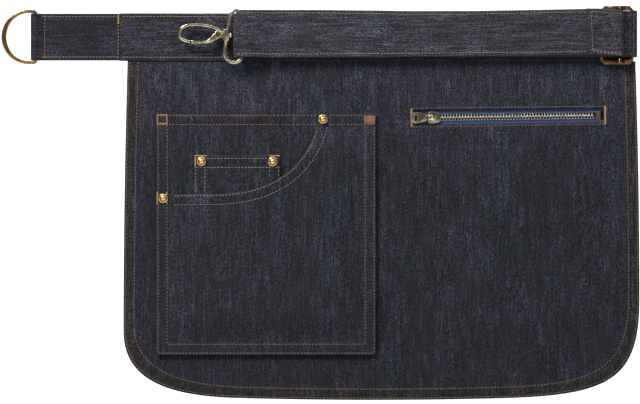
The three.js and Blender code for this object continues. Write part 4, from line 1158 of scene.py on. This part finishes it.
mouthTop = left + pocketLooks["mouthReach"]
for inset in (1.5, 9.1):
    stitchRow("mouthStitches", alongMouth(inset), onCover, pitch=2.7)
    stitchRow("pocketStitches", [(right - inset, high - 10.5), (right - inset, low + inset)], onCover)
    stitchRow("pocketStitches", [(right - inset, low + inset), (left + inset, low + inset)], onCover)
    stitchRow("pocketStitches", [(left + inset, low + inset), (left + inset, mouthZ - 8)], onCover)
    stitchRow("pocketStitches", [(mouthTop + 8, high - inset), (right - 1.5, high - inset)], onCover)
    stitchRow("pocketTopStitches", [(left + 1.6, high - inset), (mouthTop - 34, high - inset)], onFacing)
    stitchRow("facingStitches", [(mouthTop - 33, high - inset), (mouthTop - 2, high - inset)], onFacing)
    stitchRow("facingStitches", [(left + inset, high - 9), (left + inset, mouthZ + 3)], onFacing)
    stitchRow("coinStitches", [(coinLow[0] + 1.6, coinHigh[2] - inset - 1.5),
        (coinHigh[0] - 1.6, coinHigh[2] - inset - 1.5)], onCoin)
    stitchRow("coinStitches", [(coinLow[0] + inset, coinHigh[2] - 9), (coinLow[0] + inset, mouthZ + 1)],
        onCoin)
    stitchRow("coinStitches", [(coinHigh[0] - inset, coinHigh[2] - 9), (coinHigh[0] - inset, mouthZ + 14)],
        onCoin)
for rise in (1.2, 8.4):
    barTack("pocketCornerBar", (left + 0.8, high - rise), (left + 9.4, high - rise), 1.6, onFacing)
for reach in (0.9, 9.0):
    barTack("pocketCornerBar", (left + reach, high - 9.4), (left + reach, high - 0.6), 1.6, onFacing)
barTack("pocketCornerBar", (right - 9.6, high - 5.2), (right - 0.9, high - 5.2), 7.8, onCover, spacing=0.5)
for edge in (1.0, 9.0):
    barTack("mouthBars", (left + edge, mouthZ - 8.5), (left + edge, mouthZ + 1.5), 1.6, onCover)
barTack("coinBars", (coinLow[0] + 0.5, coinHigh[2] - 0.8), (coinLow[0] + 10.5, coinHigh[2] - 0.8), 1.5,
    onCoin)
barTack("coinBars", (coinLow[0] + 1, coinHigh[2] - 10), (coinLow[0] + 1, coinHigh[2] - 2), 1.4, onCoin)
barTack("coinBars", (coinHigh[0] - 9, coinHigh[2] - 0.8), (coinHigh[0] - 0.6, coinHigh[2] - 0.8), 1.5, onCoin)
print("pocket made")


for side, sign in (("Upper", 1), ("Lower", -1)):
    edges = [(-88.2, sign * 3.7), (88.2, sign * 3.7), (88.2, sign * 12), (-88.2, sign * 12)]
    outline = turned(edges if sign > 0 else edges[::-1], panelLooks["zipCentre"], panelLooks["zipTurn"])
    tapeLow, tapeHigh = boxMm("zip_tape_" + side.lower())
    tapePiece = clothSheet("zipTape" + side, outline, {
        "step": 2.6, "edgeStep": 2.0, "rings": (0.3, 0.8), "round": 0.4,
        "front": lambda x, z, d: tapeLow[1] + 0.06 * ripple(x, z, (9, 6), 2.0), "back": lambda x, z,
        d: 0 * x + tapeHigh[1],
        "wear": lambda x, z, d: 0 * x,
    }, [tapeCloth])
    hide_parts("zip_tape_" + side.lower())
    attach(tapePiece, "apron")

teethLooks = {"count": 55, "pitch": 2.5, "width": 1.05, "reach": 3.1, "depth": 1.9, "start": -64.0,
    "cord": 0.75}


def modelTooth():  # one scoop of metal, wider where it grips the cord
    bpy.ops.object.select_all(action="DESELECT")
    bpy.ops.mesh.primitive_cube_add(size=1)
    piece = bpy.context.active_object
    bpy.ops.object.mode_set(mode="EDIT")
    bpy.ops.mesh.select_all(action="SELECT")
    bpy.ops.transform.resize(value=(teethLooks["width"], teethLooks["depth"], teethLooks["reach"]))
    bpy.ops.object.mode_set(mode="OBJECT")
    for vertex in piece.data.vertices:  # the grip end stands over the cord
        if vertex.co.z > 0:
            vertex.co.y *= 1.15
        else:
            vertex.co.x *= 0.8
            vertex.co.y *= 0.8
    bpy.ops.object.mode_set(mode="EDIT")
    bpy.ops.mesh.select_all(action="SELECT")
    bpy.ops.mesh.bevel(offset=0.22, segments=2)
    bpy.ops.object.mode_set(mode="OBJECT")
    points = np.array([v.co[:] for v in piece.data.vertices])
    faces = [list(p.vertices) for p in piece.data.polygons]
    bpy.data.objects.remove(piece, do_unlink=True)
    return points, faces


toothPoints, toothFaces = modelTooth()
for side, sign in (("Upper", 1), ("Lower", -1)):
    teethLow, teethHigh = boxMm("zip_teeth_" + side.lower())
    depthAt = (teethLow[1] + teethHigh[1]) / 2
    thinner = (teethHigh[1] - teethLow[1]) / (teethLooks["depth"] * 1.15)
    points, faces = [], []
    for i in range(teethLooks["count"]):
        along = teethLooks["start"] + (i + (0 if sign > 0 else 0.5)) * teethLooks["pitch"]
        local = toothPoints * [1, thinner, sign] + [along, depthAt, sign * (teethLooks["reach"] / 2 - 0.55)]
        flat = np.array(turned([(p[0], p[2]) for p in local], panelLooks["zipCentre"], panelLooks["zipTurn"]))
        first = len(points) * len(toothPoints)
        points.append(np.column_stack([flat[:, 0], local[:, 1], flat[:, 1]]))
        faces += [[first + k for k in (face if sign > 0 else face[::-1])] for face in toothFaces]
    row = writeMesh("zipTeeth" + side, np.concatenate(points), faces, [toothMetal])
    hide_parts("zip_teeth_" + side.lower())
    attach(row, "apron")
    bpy.ops.object.select_all(action="DESELECT")
    bpy.ops.mesh.primitive_cylinder_add(vertices=12, radius=teethLooks["cord"] * mm, depth=0.148)
    cord = bpy.context.active_object
    cord.name = "zipCord" + side
    at = turned([(0.5, sign * 2.95)], panelLooks["zipCentre"], panelLooks["zipTurn"])[0]
    cord.rotation_euler = (0, math.pi / 2 - math.radians(panelLooks["zipTurn"]), 0)
    cord.location = (at[0] * mm, depthAt * mm, at[1] * mm)
    bpy.ops.object.transform_apply(location=True, rotation=True, scale=True)
    bpy.ops.object.shade_smooth_by_angle(angle=0.7)
    cord.data.materials.append(tapeCloth)
    cord.select_set(False)
    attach(cord, "apron")

bagLow, bagHigh = boxMm("zip_pocket_bag")
bagHalf = (97.2, 66.0)
bagCorners = [(-bagHalf[0], 22 - 132.0), (bagHalf[0], 22 - 132.0), (bagHalf[0], 22.0), (-bagHalf[0], 22.0)]
bagOutline = turned(bagCorners, panelLooks["zipCentre"], panelLooks["zipTurn"])


def bagStand(x, z, distance):
    return (bagHigh[1] - bagLow[1] - 0.6) * smoothStep((distance - 1.5) / 9) + 0.25 * ripple(x, z, (22, 30),
        4.4) * smoothStep((distance - 3) / 12)


bag = clothSheet("zipPocketBag", bagOutline, {
    "step": 4.2, "edgeStep": 3.0, "rings": (0.4, 1.2, 3.0, 5.5), "round": 0.5,
    "front": lambda x, z, d: bagLow[1] + 0.05 + bagStand(x, z, d), "back": lambda x, z,
    d: bagLow[1] + 0.6 + bagStand(x, z, d),
    "wear": lambda x, z, d: 0 * x,
}, [liningCloth])
declare(bag, "apron", ["zip_pocket_bag"])


def bagBack(x, z):
    return np.full(len(x), bagLow[1] + 0.75)


bagSeam = turned([(-94, -107), (94, -107), (94, 19.5), (-94, 19.5), (-94, -107)], panelLooks["zipCentre"],
    panelLooks["zipTurn"])
stitchRow("bagStitches", bagSeam, bagBack, out=(0, 1, 0), pitch=3.6)
print("zip and lining made")


threadKinds = {
    "hemStitches": (tanThread, "apron"), "hemStitchesBack": (tanThread, "apron"),
    "zipStitches": (tanThread, "apron"),
    "zipBars": (goldThread, "apron"), "bandStitches": (creamThread, "apron"),
    "bandStitchesBack": (creamThread, "apron"),
    "tabStitches": (creamThread, "apron"), "tabStitchesBack": (creamThread, "apron"),
    "tabCrossStitches": (copperThread, "apron"),
    "tabEndStitches": (goldThread, "apron"), "tabEndBar": (goldThread, "apron"),
    "beltStitches": (creamThread, "belt"), "turnStitches": (tanThread, "belt"),
    "beltEndStitches": (creamThread, "belt"), "mouthStitches": (creamThread, "apron"),
    "pocketStitches": (tanThread, "apron"),
    "pocketTopStitches": (copperThread, "apron"), "facingStitches": (tanThread, "apron"),
    "coinStitches": (creamThread, "apron"),
    "pocketCornerBar": (copperThread, "apron"), "mouthBars": (goldThread, "apron"),
    "coinBars": (goldThread, "apron"),
    "bagStitches": (creamThread, "apron"),
}
stitchTotal = 0
for group, (material, body) in threadKinds.items():
    writeThreads(group, material, body)
    stitchTotal += len(threadRows[group])
print("threads made:", stitchTotal, "stitches")


hardware = {
    "d_ring": ("ringMetal", ringBrass, "d_ring", "antique_brass"),
    "strap_slider": ("sliderMetal", sliderBronze, "belt", "copper_bronze"),
    "hook_ring": ("hookRingMetal", hookBrass, "hook_ring", "pale_brass"),
    "hook_body": ("hookMetal", hookBrass, "snap_hook", "pale_brass"),
    "hook_gate": ("gateMetal", hookBrass, "hook_gate", "pale_brass"),
}


def smoothCopy(node, name, material, body, degrees=42):
    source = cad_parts[node]
    source = source if isinstance(source, bpy.types.Object) else bpy.data.objects[node]
    piece = source.copy()
    piece.data = source.data.copy()
    piece.name = name
    bpy.context.scene.collection.objects.link(piece)
    piece.parent = None
    piece.matrix_world = source.matrix_world.copy()
    piece.data.materials.clear()
    piece.data.materials.append(material)
    for key in list(piece.keys()):
        if key.startswith("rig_"):
            del piece[key]
    bpy.ops.object.select_all(action="DESELECT")
    piece.select_set(True)
    bpy.context.view_layer.objects.active = piece
    bpy.ops.object.mode_set(mode="EDIT")
    bpy.ops.mesh.select_all(action="SELECT")
    bpy.ops.mesh.remove_doubles(threshold=0.00001)
    bpy.ops.object.mode_set(mode="OBJECT")
    bpy.ops.object.shade_smooth_by_angle(angle=math.radians(degrees))
    piece.select_set(False)
    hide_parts(node)
    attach(piece, body)
    return piece


for node, (name, material, body, slot) in hardware.items():
    smoothCopy(node, name, material, body)
smoothCopy("zip_slider", "zipSliderMetal", zipMetal, "zip_slider")
smoothCopy("zip_pull", "zipPullMetal", zipMetal, "zip_pull")
sliderLow, sliderHigh = boxMm("zip_slider")
bpy.ops.object.select_all(action="DESELECT")
bpy.ops.mesh.primitive_torus_add(major_segments=32, minor_segments=10, major_radius=1.75 * mm,
    minor_radius=0.55 * mm)
eyelet = bpy.context.active_object
eyelet.name = "zipEyelet"
eyelet.rotation_euler = (math.pi / 2, 0, 0)
eyelet.location = (41.9 * mm, (sliderLow[1] - 0.1) * mm, (sliderLow[2] + sliderHigh[2]) / 2 * mm)
bpy.ops.object.transform_apply(location=True, rotation=True, scale=True)
bpy.ops.object.shade_smooth()
eyelet.data.materials.append(toothMetal)
eyelet.select_set(False)
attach(eyelet, "zip_slider")
for spot in ("mouth_left", "mouth_top", "coin_left", "coin_right"):
    capLow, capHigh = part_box("rivet_cap_" + spot)
    middle = [(a + b) / 2 for a, b in zip(capLow, capHigh)]
    capMetal = makeMetal("rivetGold_" + spot, (0.62, 0.40, 0.17, 1), (0.13, 0.07, 0.03, 1), 0.4, 0.2, 0.42,
        groove={"centre": middle, "inner": 0.0020, "outer": 0.0029})
    smoothCopy("rivet_cap_" + spot, "rivetCap_" + spot, capMetal, "apron", 50)

metalNodes = {
    rivetGold: [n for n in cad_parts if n.startswith("rivet_nail")],
    zipMetal: ["zip_bottom_stop", "zip_top_stop_upper", "zip_top_stop_lower"],
    ringBrass: ["hook_gate_pin"],
    springSteel: ["hook_gate_spring"],
}
for material, nodes in metalNodes.items():
    for node in nodes:
        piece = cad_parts[node]
        piece = piece if isinstance(piece, bpy.types.Object) else bpy.data.objects[node]
        for slotHere in piece.material_slots:
            slotHere.material = material
        if not piece.material_slots:
            piece.data.materials.append(material)
print("hardware made")


studio = {"distance": 2600.0, "centre": (-52.3, -140.25), "width": 544.0, "floor": -420.0}
camera = bpy.data.cameras.new("studioCamera")
camera.lens = 36.0 * (studio["distance"] - 5) / studio["width"]
cameraObject = bpy.data.objects.new("studioCamera", camera)
cameraObject.location = (studio["centre"][0] * mm, -studio["distance"] * mm, studio["centre"][1] * mm)
cameraObject.rotation_euler = (math.pi / 2, 0, 0)
bpy.context.scene.collection.objects.link(cameraObject)
bpy.context.scene.camera = cameraObject


def paleMaterial():
    material, w, shader, place = startMaterial("palePaper")
    grain = w.noise(w.stretch(place, (60, 60, 60)), 1.0, 2.0)
    paper = w.blend(grain, (0.86, 0.86, 0.86, 1), (0.9, 0.9, 0.9, 1))
    bounced = w.add("ShaderNodeLightPath").outputs["Is Diffuse Ray"]  # the paper throws little light back up
    w.put(shader.inputs["Base Color"], w.blend(bounced, paper, (0.2, 0.2, 0.2, 1)))
    shader.inputs["Roughness"].default_value = 0.9
    shader.inputs["Emission Color"].default_value = (1, 1, 1, 1)
    w.put(shader.inputs["Emission Strength"], w.spread(bounced, 0.0, 1.0, 0.5, 0.1))
    facing = w.add("ShaderNodeNewGeometry")  # clear from behind, so the back can be looked at
    clear = w.maths("SUBTRACT", 1.0, facing.outputs["Backfacing"])
    w.put(shader.inputs["Alpha"], clear)
    return material


def makeBackdrop():  # floor, cove and wall in one sheet
    floor, wall, radius = studio["floor"], 1500.0, 600.0
    profile = [(-4000.0, floor), (wall - radius, floor)]
    profile += [(wall - radius + radius * math.sin(a),
        floor + radius - radius * math.cos(a)) for a in np.linspace(0, math.pi / 2, 16)]
    profile += [(wall, floor + 3500)]
    points = [(x, y, z) for x in (-4500, 4500) for y, z in profile]
    count = len(profile)
    faces = [(i, i + count, i + count + 1, i + 1) for i in range(count - 1)]
    piece = writeMesh("studioFloor", points, faces, [paleMaterial()])
    return piece


def makeLight(name, place, size, power, colour=(1, 1, 1)):
    light = bpy.data.lights.new(name, "AREA")
    light.energy, light.size, light.color = power, size, colour
    lamp = bpy.data.objects.new(name, light)
    lamp.location = place
    aim = Vector((-0.05, 0, -0.14)) - Vector(place)
    lamp.rotation_euler = aim.to_track_quat("-Z", "Y").to_euler()
    bpy.context.scene.collection.objects.link(lamp)


makeBackdrop()
makeLight("keyLight", (-1.0, -1.0, 1.2), 0.6, 60)
makeLight("fillLight", (1.8, -2.0, 0.2), 1.6, 6)
makeLight("topLight", (0.15, -0.35, 0.75), 0.7, 5)
world = bpy.data.worlds.new("studioWorld")
world.use_nodes = True
world.node_tree.nodes["Background"].inputs[0].default_value = (0.95, 0.97, 1.0, 1)
world.node_tree.nodes["Background"].inputs[1].default_value = 0.2
bpy.context.scene.world = world
bpy.context.scene.view_settings.view_transform = "Standard"

print("studio made")
